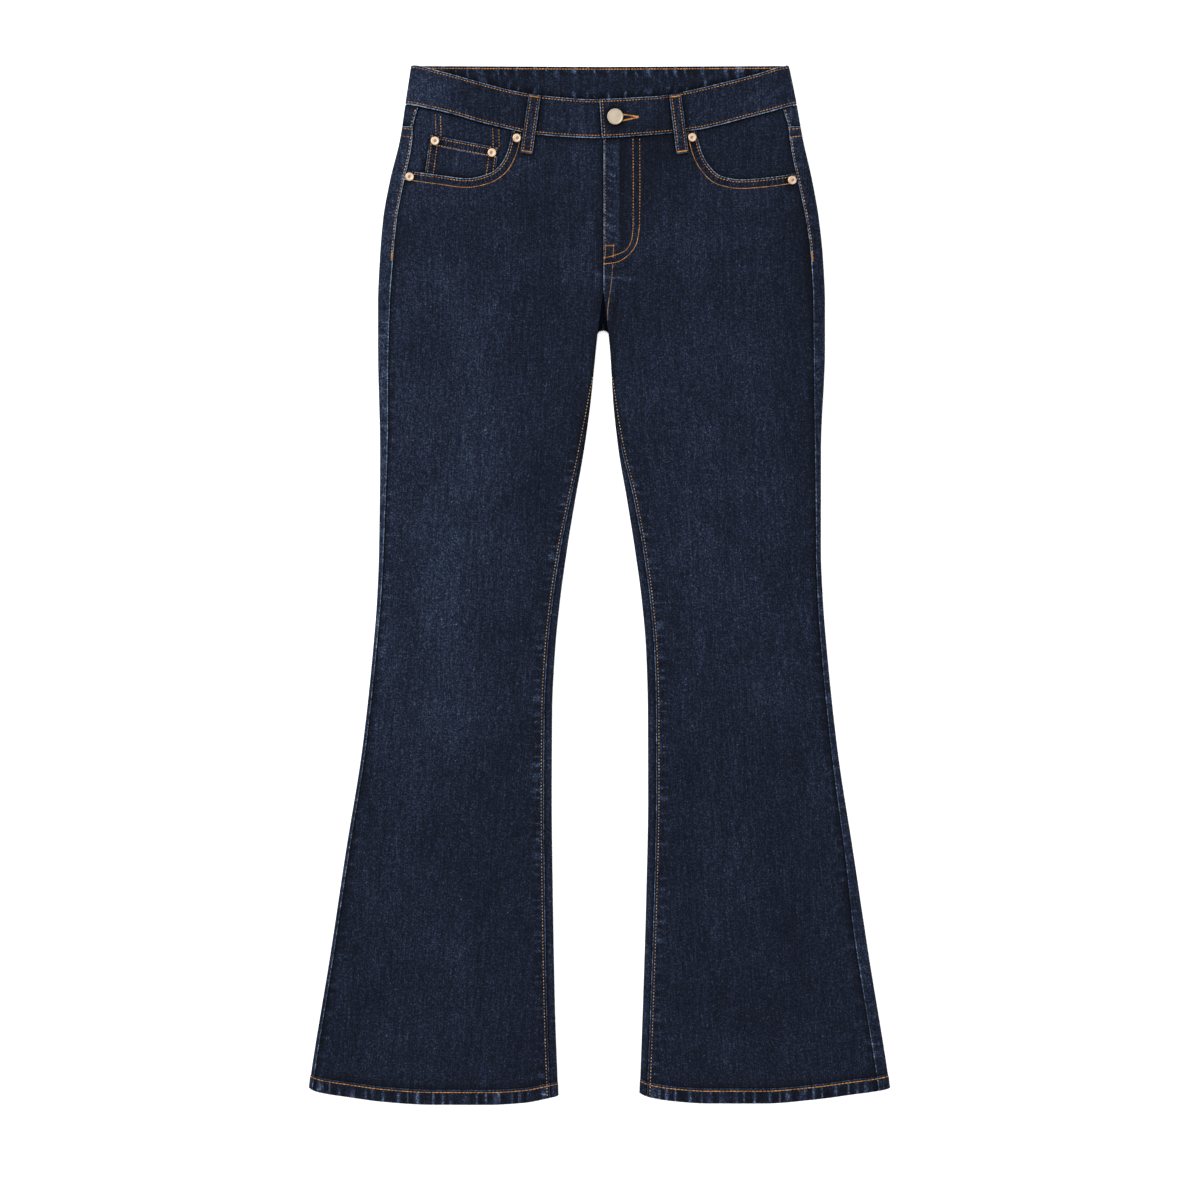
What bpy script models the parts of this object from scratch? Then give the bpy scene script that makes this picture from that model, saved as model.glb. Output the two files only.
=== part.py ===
"""Bootcut jeans, laid flat on a surface with the front up.

Sizes are in millimetres and become metres where a point is placed. X runs across the jeans, and the
wearer's left is +X. Y runs from the hems up to the waist, and Z is up. The origin lies on the surface,
under the middle of the jeans' box.

A plan place is (across, drop): across is measured from the middle line towards the side that the piece
is on, and drop runs down from the back waist's top edge. Each leg is a flattened tube. Its front lies on
its back, and its sides turn over in half rounds. skin() puts a plan place on that tube.
"""

import math

import bmesh
import bpy
import numpy as np

MM = 0.001

# Cloth
PLY = 1.1  # one layer of denim
GAP = 0.3  # between neighbouring pieces
BAND_GAP = 0.45  # under the waistband, whose lower edge curves
HEM_WALL = 3.0  # three layers, where a leg end is turned up twice
HEM_DEPTH = 14.0
HEM_RISE = 0.3  # how far the turned hem stands over the leg
BAG_PLY = 1.0
BAND_WALL = 2.4  # a waistband has two layers and its turnings
POCKET_LEVEL = 1.4  # what lies one layer under a panel starts this deep

# Overall
LENGTH = 1091.0  # back waist edge to the lowest point of the hems
MIDDLE_SEAM = 4.35  # the centre seams lie this far to the wearer's left of the middle line
CROTCH_DROP = 279.0
CROTCH_ROUND = 4.0  # radius of the corners at the top of the gap between the legs
INSEAM_START = 238.0  # here the four panels meet, on the front
FOLD_LEAVES = 345.0  # from here down the inseams lie on the front, and above it on the fold
SAG_RUN = 45.0  # the front sinks onto the back over this distance from a fold

# Waistband
BAND_TOP = 8.0
BAND_FLOOR = 1.4
BACK_BAND_TOP = (0.5, 1.5)  # drop of the back band's top edge, at the side and in the middle
BACK_BAND_LOW = (41.5, 43.0)
BAND_EDGE = (0.3, 41.5)  # drop of the band's ends on the side fold
OVERLAP_END = (0.2, 2.9)  # across, at the top and the bottom of the band
UNDERLAP_END = -38.0
OVERLAP_LIFT = 2.7
OVERLAP_FLAT = 40.0
OVERLAP_FADE = 62.0

# Fly
FLY_EDGE = 4.7
FLY_LIFT = 1.4
FLY_WIDTH = 36.0  # full height up to here, faded out by FLY_FADE
FLY_FADE = 46.0
FLY_END = 190.0
FLY_END_FADE = 212.0
UNDER_FLY = 8.0  # how far the right front reaches under the fly's edge
UNDER_FLY_END = (170.0, 184.0)
FLY_TOP = 82.0
SHIELD_END = 206.0
SHIELD_REACH = (-2.0, 46.0)
ZIP_REACH = (13.2, 32.0)
ZIP_TOP = 100.0
ZIP_END = 188.0
SLIDER_REACH = (17.5, 28.0)
SLIDER_DROPS = (86.0, 99.0)

# Yoke
YOKE_SIDE_DROP = 64.5
YOKE_BACK_DROP = 108.0

# Small pieces
LOOP_WIDTH = 12.5
LOOP_PLY = 1.8
LOOP_ARCH = 0.8
BACK_LOOP_PLY = 1.1
BACK_LOOP_DROPS = (0.3, 62.0)
BACK_LOOP_ACROSS = 128.0
BUTTON_RADIUS = 8.5
BUTTON_HEIGHT = 3.2
BUTTON_DROP = 55.0
BUTTON_ACROSS = 16.7
RIVET_RADIUS = 4.7
RIVET_HEIGHT = 1.9
COIN_WIDTH = 73.0
COIN_DEPTH = 84.0
COIN_TILT = 11.0  # degrees
COIN_CORNER = (177.4, 73.0)  # its upper corner nearest the side
BACK_POCKET_WIDTH = 138.0
BACK_POCKET_SIDE = 112.0
BACK_POCKET_POINT = 138.0
BACK_POCKET_TOP = 128.0
BACK_POCKET_MIDDLE = 112.0
BAG_INNER_ACROSS = 84.0
BAG_END = 232.0


class Chart:
    """A small table, read between its rows on a curve that stays within them."""

    def __init__(self, names, *rows):
        data = np.array(rows, float)
        self.places = data[:, 0]
        self.columns = dict(zip(names.split()[1:], data[:, 1:].T))
        self.slopes = {name: self.slopes_of(values) for name, values in self.columns.items()}

    def slopes_of(self, values):
        steps = np.diff(self.places)
        rises = np.diff(values) / steps
        slopes = np.zeros(len(values))
        slopes[0], slopes[-1] = rises[0], rises[-1]
        for i in range(1, len(values) - 1):
            if rises[i - 1] * rises[i] > 0:
                near, far = 2 * steps[i] + steps[i - 1], steps[i] + 2 * steps[i - 1]
                slopes[i] = (near + far) / (near / rises[i - 1] + far / rises[i])
        return slopes

    def __call__(self, name, place):
        place = min(max(place, self.places[0]), self.places[-1])
        i = min(max(int(np.searchsorted(self.places, place)) - 1, 0), len(self.places) - 2)
        step = self.places[i + 1] - self.places[i]
        t = (place - self.places[i]) / step
        low, high = self.columns[name][i], self.columns[name][i + 1]
        out, into = self.slopes[name][i] * step, self.slopes[name][i + 1] * step
        return float(
            low * (1 + 2 * t) * (1 - t) ** 2
            + out * t * (1 - t) ** 2
            + high * t * t * (3 - 2 * t)
            + into * t * t * (t - 1)
        )


# Half widths of the whole outline.
OUTLINE = Chart(
    "drop    right  left",
    (0.0, 197.5, 199.0),
    (36.0, 202.9, 206.4),
    (78.0, 209.2, 213.9),
    (120.0, 219.5, 223.4),
    (162.0, 227.0, 230.7),
    (204.0, 230.4, 235.0),
    (250.0, 232.3, 237.0),
    (299.0, 232.3, 237.0),
    (404.0, 230.2, 232.9),
    (509.0, 231.3, 232.8),
    (561.0, 233.4, 234.9),
    (614.0, 237.6, 239.1),
    (719.0, 249.1, 250.3),
    (824.0, 265.9, 266.4),
    (929.0, 281.7, 282.2),
    (1075.0, 304.9, 305.3),
    (1110.0, 309.0, 309.5),
)

# Each leg's inner edge, from the top of the gap down.
INNER = Chart(
    "drop    right  left",
    (279.0, 1.3, 9.2),
    (299.0, 3.4, 11.2),
    (351.0, 8.7, 14.4),
    (404.0, 16.0, 20.2),
    (456.0, 25.2, 29.1),
    (509.0, 33.9, 37.5),
    (561.0, 41.0, 44.5),
    (614.0, 46.3, 49.1),
    (680.0, 49.4, 51.0),
    (771.0, 49.8, 51.2),
    (876.0, 48.6, 49.2),
    (981.0, 46.5, 45.9),
    (1090.0, 42.3, 41.7),
)

# How far the outseams and the inseams lie inside the outline, on the front.
OUTSEAM = Chart(
    "drop    right  left",
    (41.0, 14.5, 16.5),
    (65.0, 11.3, 12.9),
    (78.0, 13.0, 13.9),
    (110.0, 15.0, 15.4),
    (190.0, 14.2, 12.8),
    (299.0, 11.0, 11.8),
    (404.0, 7.9, 6.4),
    (509.0, 5.0, 5.2),
    (614.0, 3.8, 5.9),
    (719.0, 3.7, 6.7),
    (834.0, 3.7, 9.3),
    (920.0, 3.7, 12.2),
    (1100.0, 3.9, 11.8),
)
INSEAM = Chart(
    "drop    right  left",
    (279.0, 0.0, 0.0),
    (345.0, 0.0, 0.0),
    (385.0, 2.0, 2.0),
    (451.0, 4.6, 7.0),
    (519.0, 7.1, 8.7),
    (600.0, 7.8, 8.7),
    (1100.0, 8.6, 7.6),
)

# Heights over the surface: the underside, the top at the folds, and how far the middle sinks.
HEIGHTS = Chart(
    "drop    floor  top  sag",
    (40.0, 1.4, 7.2, 0.5),
    (240.0, 1.4, 7.2, 0.5),
    (272.0, 1.4, 7.0, 0.6),
    (345.0, 0.0, 5.9, 1.2),
    (600.0, 0.0, 5.6, 1.3),
    (1000.0, 0.0, 6.2, 1.3),
    (1056.0, 0.0, 7.3, 0.7),
    (1100.0, 0.0, 7.4, 0.6),
)

# The front waistband's two edges, as drops at each place across.
BAND_UPPER = Chart(
    "across  right  left",
    (-40.0, 34.6, 36.6),
    (0.0, 36.4, 36.2),
    (60.0, 32.2, 32.9),
    (89.0, 27.5, 28.1),
    (127.0, 17.7, 19.3),
    (166.0, 6.9, 9.4),
    (197.0, 0.0, 0.6),
    (206.0, 0.0, 0.0),
)
BAND_LOWER = Chart(
    "across  right  left",
    (-40.0, 73.6, 77.4),
    (0.0, 76.6, 76.9),
    (64.0, 73.0, 72.4),
    (103.0, 65.2, 67.9),
    (128.0, 59.0, 62.5),
    (150.0, 52.4, 56.6),
    (180.0, 45.4, 48.8),
    (201.0, 41.5, 42.9),
    (207.0, 41.5, 41.5),
)

# The edge of a front pocket's mouth, by its share of the way from the waistband to the outseam.
MOUTH = Chart(
    "share   right_across right_drop left_across left_drop",
    (0.00, 91.6, 67.6, 102.1, 68.1),
    (0.07, 92.7, 77.0, 103.6, 77.5),
    (0.20, 97.5, 94.0, 108.2, 93.5),
    (0.30, 105.0, 106.2, 115.4, 105.8),
    (0.41, 118.3, 114.9, 126.5, 115.9),
    (0.56, 139.0, 119.0, 147.5, 120.2),
    (0.77, 169.0, 115.4, 175.5, 118.3),
    (1.00, 202.3, 110.9, 207.0, 113.8),
)

# Drops of a hem's lower edge, by the share of the way from the outer edge to the inner one.
HEM = Chart(
    "share   right   left",
    (0.00, 1073.6, 1073.6),
    (0.03, 1077.0, 1075.5),
    (0.16, 1083.0, 1080.5),
    (0.30, 1087.8, 1085.4),
    (0.50, 1090.9, 1089.6),
    (0.72, 1091.0, 1089.6),
    (0.86, 1089.0, 1087.2),
    (0.96, 1084.0, 1083.0),
    (1.00, 1081.6, 1079.0),
)
HEM_CORNER = 1073.6
HEM_CURVE_START = 880.0

# Front belt loops: the middle of the top end and of the bottom end.
FRONT_LOOPS = {"right": ((67.5, 31.6), (76.4, 92.9)), "left": ((79.5, 31.4), (87.4, 92.9))}

# Rivets: the side, across, drop, and how deep under the panel's surface each one sits.
RIVETS = {
    "rivet_pocket_top_right": ("right", 86.4, 76.6, 0.0),
    "rivet_pocket_side_right": ("right", 198.9, 117.3, 0.0),
    "rivet_pocket_top_left": ("left", 97.6, 76.0, 0.0),
    "rivet_pocket_side_left": ("left", 202.4, 120.9, 0.0),
    "rivet_coin_side": ("right", 172.4, 79.5, POCKET_LEVEL),
    "rivet_coin_middle": ("right", 112.6, 91.8, POCKET_LEVEL),
}

# Rows of drops. The back's first ones slope with the yoke, and those at the crotch fan round its corner.
FRONT_ROWS = (
    (150.0, 164.0, 176.0, 184.0, 198.0, 212.0, 225.0, 238.0, 250.0, 262.0, 271.0, 276.0, 279.0)
    + (283.0, 287.0, 292.0, 299.0, 312.0, 328.0, 345.0, 364.0, 385.0, 410.0, 440.0)
    + (475.0, 515.0, 560.0, 610.0, 665.0, 720.0, 780.0, 840.0, 900.0, 955.0, 1005.0, 1040.0)
)
MOUTH_ROWS = (0.0, 0.12, 0.3, 0.55, 0.8)
BACK_UPPER_ROWS = (
    (64.5, 108.0),
    (84.0, 120.0),
    (100.0, 131.0),
    (115.0, 142.0),
    (132.0, 154.0),
    (150.0, 167.0),
    (170.0, 182.0),
    (194.0, 202.0),
    (220.0, 225.0),
    (242.0, 246.0),
    (256.0, 264.0),
)
FAN_ROWS = (
    # outer drop, turn round the corner in degrees (None is the centre seam), stretch of the seam gap
    (264.0, None, 7.0),
    (269.0, 90.0, 7.0),
    (274.0, 72.0, 2.2),
    (279.0, 54.0, 1.6),
    (284.0, 36.0, 2.0),
    (289.0, 18.0, 2.2),
    (294.0, 0.0, 2.0),
)
BACK_LEG_ROWS = (
    ((298.0, 287.0), (303.0, 292.0), (309.0, 299.0), (319.0, 312.0), (332.0, 328.0), (347.0, 345.0))
    + tuple((drop, drop) for drop in FRONT_ROWS if drop > 350.0)
)
HEM_ROWS = (24.0, HEM_DEPTH + 0.4, HEM_DEPTH, 0.0)  # over the hem's edge

FOLD_TURNS = (90.0, 60.0, 30.0, 0.0, -30.0, -60.0)  # degrees round an outer fold, from the front to the back
UNDER_SHARES = tuple(i / 6 for i in range(7))
INNER_STEPS = (0.0, 0.4, 1.2, 3.0, 6.0, 14.0, 31.3)  # a front's columns next to its inner edge
FRONT_SHARES = (0.058, 0.15, 0.25, 0.34, 0.41, 0.49, 0.58, 0.70, 0.85, 1.0)
FRONT_MOUTH_SHARES = (None, None, None, 0.0, 0.17, 0.3, 0.44, 0.62, 0.82, 1.0)


class Side:
    """One half of the jeans, named for the wearer's side."""

    def __init__(self, name, sign):
        self.name = name
        self.sign = sign
        self.seam = sign * MIDDLE_SEAM + GAP / 2

    def outer(self, drop):
        return OUTLINE(self.name, drop)

    def inner(self, drop):
        return INNER(self.name, drop)

    def outseam(self, drop):
        return self.outer(drop) - OUTSEAM(self.name, drop)

    def place(self, across, drop, height):
        return (self.sign * across * MM, (LENGTH / 2 - drop) * MM, height * MM)


RIGHT = Side("right", -1)
LEFT = Side("left", 1)
SIDES = (RIGHT, LEFT)


def mix(low, high, share):
    return low + (high - low) * share


def ease(share):
    share = min(max(share, 0.0), 1.0)
    return share * share * (3 - 2 * share)


def crotch_corner(side):
    """The middle of the rounded corner at the top of the gap between the legs."""
    drop = CROTCH_DROP + CROTCH_ROUND
    return side.inner(drop) - CROTCH_ROUND, drop


def nearest_edge(side, across, drop):
    """How far inside the outline a plan place is, and the unit step straight in from that edge."""
    to_outer = side.outer(drop) - across
    corner_across, corner_drop = crotch_corner(side)
    beyond, above = across - corner_across, corner_drop - drop
    if above <= 0:
        to_inner, step = across - side.inner(drop), (1.0, 0.0)
    elif beyond <= 0:
        to_inner, step = above - CROTCH_ROUND, (0.0, -1.0)
    else:
        away = math.hypot(beyond, above)
        to_inner, step = away - CROTCH_ROUND, (beyond / away, -above / away)
    return (to_outer, (-1.0, 0.0)) if to_outer < to_inner else (to_inner, step)


def half_height(drop):
    return (HEIGHTS("top", drop) - HEIGHTS("floor", drop)) / 2


def skin(side, across, drop, face, depth=0.0, lift=0.0, levels=None):
    """The point of the front (face 1) or the back (face -1) at a plan place, depth under its outside."""
    inside, step = nearest_edge(side, across, drop)
    if levels:
        floor, top, sag = levels
    else:
        floor, top, sag = (HEIGHTS(name, drop) for name in ("floor", "top", "sag"))
    half = (top - floor) / 2
    inside = max(inside, 0.0)
    if inside >= half:
        sunk = sag * ease((inside - half) / SAG_RUN)
        height = top - sunk + lift - depth if face > 0 else floor + depth - lift
        return side.place(across, drop, height)
    turn = math.acos(1 - inside / half)
    moved = half - (half - depth + lift) * math.cos(turn) - inside
    height = (top + floor) / 2 + face * (half - depth + lift) * math.sin(turn)
    return side.place(across + step[0] * moved, drop + step[1] * moved, height)


def hem_bend(side, across, drop):
    """A row near the hem bends with it. This is the bent row's drop."""
    share = (side.outer(drop) - across) / (side.outer(drop) - side.inner(drop))
    weight = ease((drop - HEM_CURVE_START) / (HEM_CORNER - HEM_CURVE_START)) if drop > HEM_CURVE_START else 0
    return drop + weight * (HEM(side.name, share) - HEM_CORNER)


def hem_rows():
    """Rows near a hem: the drop before bending, the wall and the rise."""
    rows = []
    for over in HEM_ROWS:
        turned = over <= HEM_DEPTH
        rows.append((HEM_CORNER - over, HEM_WALL if turned else PLY, HEM_RISE if turned else 0.0))
    return rows


def finish(name, colour, roughness, metallic=0.0):
    """A plain material. The colour is written as sRGB hex."""
    material = bpy.data.materials.new(name)
    material.use_nodes = True
    shader = material.node_tree.nodes["Principled BSDF"]
    channels = [int(colour[i : i + 2], 16) / 255 for i in (1, 3, 5)]
    linear = [c / 12.92 if c <= 0.04045 else ((c + 0.055) / 1.055) ** 2.4 for c in channels]
    shader.inputs["Base Color"].default_value = (*linear, 1.0)
    shader.inputs["Roughness"].default_value = roughness
    shader.inputs["Metallic"].default_value = metallic
    return material


def add(name, mesh, material, smooth=True):
    obj = bpy.data.objects.new(name, mesh)
    bpy.context.collection.objects.link(obj)
    mesh.materials.append(material)
    if smooth:
        mesh.shade_smooth()
        mesh.set_sharp_from_angle(angle=math.radians(40))
    obj.parent = jeans
    return obj


def wall(name, outside, inside, material):
    """A closed wall between two equal grids of points. A grid may hold None where the piece has no cloth."""
    bm = bmesh.new()
    verts = {}
    for layer, grid in enumerate((outside, inside)):
        for i, row in enumerate(grid):
            for j, point in enumerate(row):
                if point is not None:
                    verts[layer, i, j] = bm.verts.new(point)
    edges = {}
    for i in range(len(outside) - 1):
        for j in range(len(outside[i]) - 1):
            cell = [(i, j), (i, j + 1), (i + 1, j + 1), (i + 1, j)]
            if any((0, *corner) not in verts for corner in cell):
                continue
            bm.faces.new([verts[0, *corner] for corner in cell])
            bm.faces.new([verts[1, *corner] for corner in reversed(cell)])
            for start, end in zip(cell, cell[1:] + cell[:1]):
                if not edges.pop((end, start), None):
                    edges[start, end] = True
    for start, end in edges:
        bm.faces.new([verts[0, *end], verts[0, *start], verts[1, *start], verts[1, *end]])
    bmesh.ops.recalc_face_normals(bm, faces=bm.faces)
    mesh = bpy.data.meshes.new(name)
    bm.to_mesh(mesh)
    bm.free()
    return add(name, mesh, material)


def turned(name, profile, place, material, segments=24):
    """A round piece from its (radius, height) profile, which starts and ends on the axis."""
    bm = bmesh.new()
    chain = [bm.verts.new((radius * MM, 0, height * MM)) for radius, height in profile]
    for low, high in zip(chain, chain[1:]):
        bm.edges.new((low, high))
    bmesh.ops.spin(
        bm, geom=bm.verts[:] + bm.edges[:], cent=(0, 0, 0), axis=(0, 0, 1), angle=math.tau, steps=segments
    )
    bmesh.ops.remove_doubles(bm, verts=bm.verts, dist=1e-6)
    bmesh.ops.recalc_face_normals(bm, faces=bm.faces)
    mesh = bpy.data.meshes.new(name)
    bm.to_mesh(mesh)
    bm.free()
    obj = add(name, mesh, material)
    obj.location = place
    return obj


def front_inner(side, drop):
    """Where a front panel ends, towards the middle: the centre seam, then the inseam."""
    if drop <= INSEAM_START:
        return side.seam
    if drop <= CROTCH_DROP:
        share = (drop - INSEAM_START) / (CROTCH_DROP - INSEAM_START)
        return mix(side.seam, side.inner(CROTCH_DROP), share)
    return side.inner(drop) + INSEAM(side.name, drop)


def front_edge(side, drop):
    """As front_inner, with the right front's reach under the fly and the fly's own edge."""
    start, end = UNDER_FLY_END
    if side is RIGHT:
        return front_inner(side, drop) - (FLY_EDGE + UNDER_FLY - MIDDLE_SEAM) * (1 - ease((drop - start) / (end - start)))
    if drop < FLY_END:
        return FLY_EDGE
    return front_inner(side, drop)


def fly_lift(side, across, drop):
    """The fly's facing and zip raise the left front beside its edge."""
    if side is RIGHT:
        return 0.0
    beside = 1 - ease((across - FLY_WIDTH) / (FLY_FADE - FLY_WIDTH))
    along = 1 - ease((drop - FLY_END) / (FLY_END_FADE - FLY_END))
    return FLY_LIFT * beside * along


def front_panel(side, material):
    outside, inside = [], []

    def add_row(places, thickness, rise):
        outside.append([])
        inside.append([])
        for across, drop in places:
            lift = fly_lift(side, across, drop)
            outside[-1].append(skin(side, across, drop, 1, 0.0, lift + rise))
            inside[-1].append(skin(side, across, drop, 1, thickness, lift))

    def level_row(drop, bend=False):
        low, high = front_edge(side, drop), side.outseam(drop) - GAP
        places = [low + step for step in INNER_STEPS]
        rest = low + INNER_STEPS[-1]
        places += [mix(rest, high, share) for share in FRONT_SHARES]
        return [(across, hem_bend(side, across, drop) if bend else drop) for across in places]

    first = FRONT_ROWS[0]
    below = level_row(first)
    top = []
    for j, (across, drop) in enumerate(below):
        share = FRONT_MOUTH_SHARES[j - len(INNER_STEPS)] if j >= len(INNER_STEPS) else None
        if share is not None:
            across, drop = MOUTH(side.name + "_across", share), MOUTH(side.name + "_drop", share)
        under_band = BAND_LOWER(side.name, across) + BAND_GAP
        top.append((across, under_band if share is None else max(drop, under_band)))
    top[-1] = (side.outseam(top[-1][1]) - GAP, top[-1][1])
    for share in MOUTH_ROWS:
        row = []
        for (top_across, top_drop), (across, drop) in zip(top, below):
            row.append((mix(top_across, across, share), mix(top_drop, drop, share)))
        row[-1] = (side.outseam(row[-1][1]) - GAP, row[-1][1])
        add_row(row, PLY, 0.0)
    for drop in FRONT_ROWS:
        add_row(level_row(drop, bend=drop > HEM_CURVE_START), PLY, 0.0)
    for drop, thickness, rise in hem_rows():
        add_row(level_row(drop, bend=True), thickness, rise)
    return wall("front_" + side.name, outside, inside, material)


def outer_wrap(side, drop):
    """Plan places from the outseam, over the side fold, to where the back lies flat."""
    half = half_height(drop)
    places = [(side.outseam(drop), drop, 1)]
    for turn in FOLD_TURNS:
        inside = half * (1 - math.cos(math.radians(turn)))
        places.append((side.outer(drop) - inside, drop, 1 if turn >= 0 else -1))
    return places


def inner_wrap(side, edge, step, reach, stretch, half):
    """Plan places from a flat back, over a fold at edge, to the inseam, which is reach inside the edge."""
    quarter = half * math.pi / 2
    turn = math.acos(1 - min(reach, half) / half)
    last = (half * turn if reach < half else quarter + reach - half) - GAP * stretch
    knee = min(quarter, last - 0.8)
    runs = [mix(-quarter, knee, share) for share in (0.25, 0.5, 0.75, 1.0)]
    runs += [mix(knee, last, share) for share in (0.5, 1.0)]
    places = []
    for run in runs:
        inside = half * (1 - math.cos(run / half)) if run < quarter else half + run - quarter
        face = 1 if run >= 0 else -1
        places.append((edge[0] + step[0] * inside, edge[1] + step[1] * inside, face))
    return places


def fan_edge(side, turn):
    """The outline's point, and the step in from it, at a turn round the crotch corner."""
    if turn is None:
        return (side.seam, CROTCH_DROP), (0.0, -1.0)
    angle = math.radians(turn)
    step = (math.cos(angle), -math.sin(angle))
    corner = crotch_corner(side)
    return (corner[0] + CROTCH_ROUND * step[0], corner[1] + CROTCH_ROUND * step[1]), step


def reach_of_inseam(side, edge, step):
    """How far in from the outline the front panel's edge is met, straight along step."""
    near, far = 0.0, CROTCH_DROP - INSEAM_START
    for _ in range(40):
        middle = (near + far) / 2
        across, drop = edge[0] + step[0] * middle, edge[1] + step[1] * middle
        if across < front_inner(side, drop) - 1e-4:
            near = middle
        else:
            far = middle
    return near


def under_row(side, outer_drop, end):
    """The flat part of a back row, from the side fold to its inner end."""
    start = side.outer(outer_drop) - half_height(outer_drop)
    return [(mix(start, end[0], share), mix(outer_drop, end[1], share), -1) for share in UNDER_SHARES]


def back_panel(side, material):
    rows = []
    for outer_drop, inner_drop in BACK_UPPER_ROWS:
        places = outer_wrap(side, outer_drop) + under_row(side, outer_drop, (side.seam, inner_drop))
        rows.append((places + [None] * 6, PLY, 0.0))
    for outer_drop, turn, stretch in FAN_ROWS:
        half = half_height(CROTCH_DROP)
        edge, step = fan_edge(side, turn)
        base = (edge[0] + step[0] * half, edge[1] + step[1] * half)
        reach = reach_of_inseam(side, edge, step)
        places = outer_wrap(side, outer_drop) + under_row(side, outer_drop, base)
        rows.append((places + inner_wrap(side, edge, step, reach, stretch, half), PLY, 0.0))

    def leg_row(outer_drop, inner_drop, bend):
        half = half_height(inner_drop)
        edge = (side.inner(inner_drop), inner_drop)
        reach = INSEAM(side.name, inner_drop)
        places = outer_wrap(side, outer_drop) + under_row(side, outer_drop, (edge[0] + half, inner_drop))
        opening = 1.9 if 0.0 < reach < 2.0 or inner_drop == FOLD_LEAVES else 1.1
        places += inner_wrap(side, edge, (1.0, 0.0), reach, opening, half)
        if bend:
            return [(across, hem_bend(side, across, drop), face) for across, drop, face in places]
        return places

    for outer_drop, inner_drop in BACK_LEG_ROWS:
        rows.append((leg_row(outer_drop, inner_drop, outer_drop > HEM_CURVE_START), PLY, 0.0))
    for drop, thickness, rise in hem_rows():
        rows.append((leg_row(drop, drop, True), thickness, rise))

    outside, inside = [], []
    for places, thickness, rise in rows:
        outside.append([])
        inside.append([])
        for place in places:
            if place is None:
                outside[-1].append(None)
                inside[-1].append(None)
                continue
            across, drop, face = place
            outside[-1].append(skin(side, across, drop, face, 0.0, rise if face > 0 else 0.0))
            inside[-1].append(skin(side, across, drop, face, thickness))
    return wall("back_" + side.name, outside, inside, material)


def yoke(side, material):
    """The back yoke, from the outseam on the front to the centre back."""
    upper, lower = [], []
    for across, drop, face in outer_wrap(side, BAND_EDGE[1] + BAND_GAP):
        top = (BAND_LOWER(side.name, across) if face > 0 else BAND_EDGE[1]) + BAND_GAP
        upper.append((across, top, face))
    for across, drop, face in outer_wrap(side, YOKE_SIDE_DROP - GAP):
        lower.append((across, drop, face))
    start = BACK_BAND_LOW[0] + BAND_GAP
    upper += under_row(side, start, (side.seam, BACK_BAND_LOW[1] + BAND_GAP))
    lower += under_row(side, YOKE_SIDE_DROP - GAP, (side.seam, YOKE_BACK_DROP - GAP))
    outside, inside = [], []
    for share in (0.0, 0.33, 0.67, 1.0):
        row = []
        for j, (high, low) in enumerate(zip(upper, lower)):
            drop = mix(high[1], low[1], share)
            if j < 1:
                across = side.outseam(drop)
            elif j <= len(FOLD_TURNS):
                half = half_height(drop)
                across = side.outer(drop) - half * (1 - math.cos(math.radians(FOLD_TURNS[j - 1])))
            else:
                across = mix(high[0], low[0], share)
            row.append((across, drop, high[2]))
        outside.append([skin(side, across, drop, face) for across, drop, face in row])
        inside.append([skin(side, across, drop, face, PLY) for across, drop, face in row])
    return wall("yoke_" + side.name, outside, inside, material)


def waistband(material):
    """One strip: from the overlap end round the left side, across the back, and round to the underlap."""
    levels = (BAND_FLOOR, BAND_TOP, 0.0)
    half = (BAND_TOP - BAND_FLOOR) / 2

    def half_strip(side, share):
        edge_drop = mix(*BAND_EDGE, share)
        edge = side.outer(edge_drop)
        end = mix(*OVERLAP_END, share) if side is LEFT else UNDERLAP_END
        fold = edge - half
        places = []
        for along in np.linspace(0, 1, 17):
            across = mix(end, fold, along)
            drop = mix(BAND_UPPER(side.name, across), BAND_LOWER(side.name, across), share)
            lift = OVERLAP_LIFT * (1 - ease((across - OVERLAP_FLAT) / (OVERLAP_FADE - OVERLAP_FLAT)))
            places.append((across, drop, 1, lift if side is LEFT else 0.0))
        for turn in FOLD_TURNS[1:]:
            inside = half * (1 - math.cos(math.radians(turn)))
            places.append((edge - inside, edge_drop, 1 if turn >= 0 else -1, 0.0))
        for along in np.linspace(0, 1, 8):
            across = mix(fold, side.sign * MIDDLE_SEAM, along)
            upper, lower = mix(*BACK_BAND_TOP, along), mix(*BACK_BAND_LOW, along)
            places.append((across, mix(upper, lower, share), -1, 0.0))
        return places

    outside, inside = [], []
    for share in (0.0, 0.5, 1.0):
        outside.append([])
        inside.append([])
        for side in (LEFT, RIGHT):
            places = half_strip(side, share)
            if side is RIGHT:
                places = places[::-1][1:]
            for across, drop, face, lift in places:
                outside[-1].append(skin(side, across, drop, face, 0.0, lift, levels))
                inside[-1].append(skin(side, across, drop, face, BAND_WALL, lift, levels))
    return wall("waistband", outside, inside, material)


def patch(name, side, material, corner_rows, depth, thickness):
    """A sheet under or over a front panel, from rows of plan places."""
    outside = [[skin(side, across, drop, 1, depth) for across, drop in row] for row in corner_rows]
    inside = [[skin(side, across, drop, 1, depth + thickness) for across, drop in row] for row in corner_rows]
    return wall(name, outside, inside, material)


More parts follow.
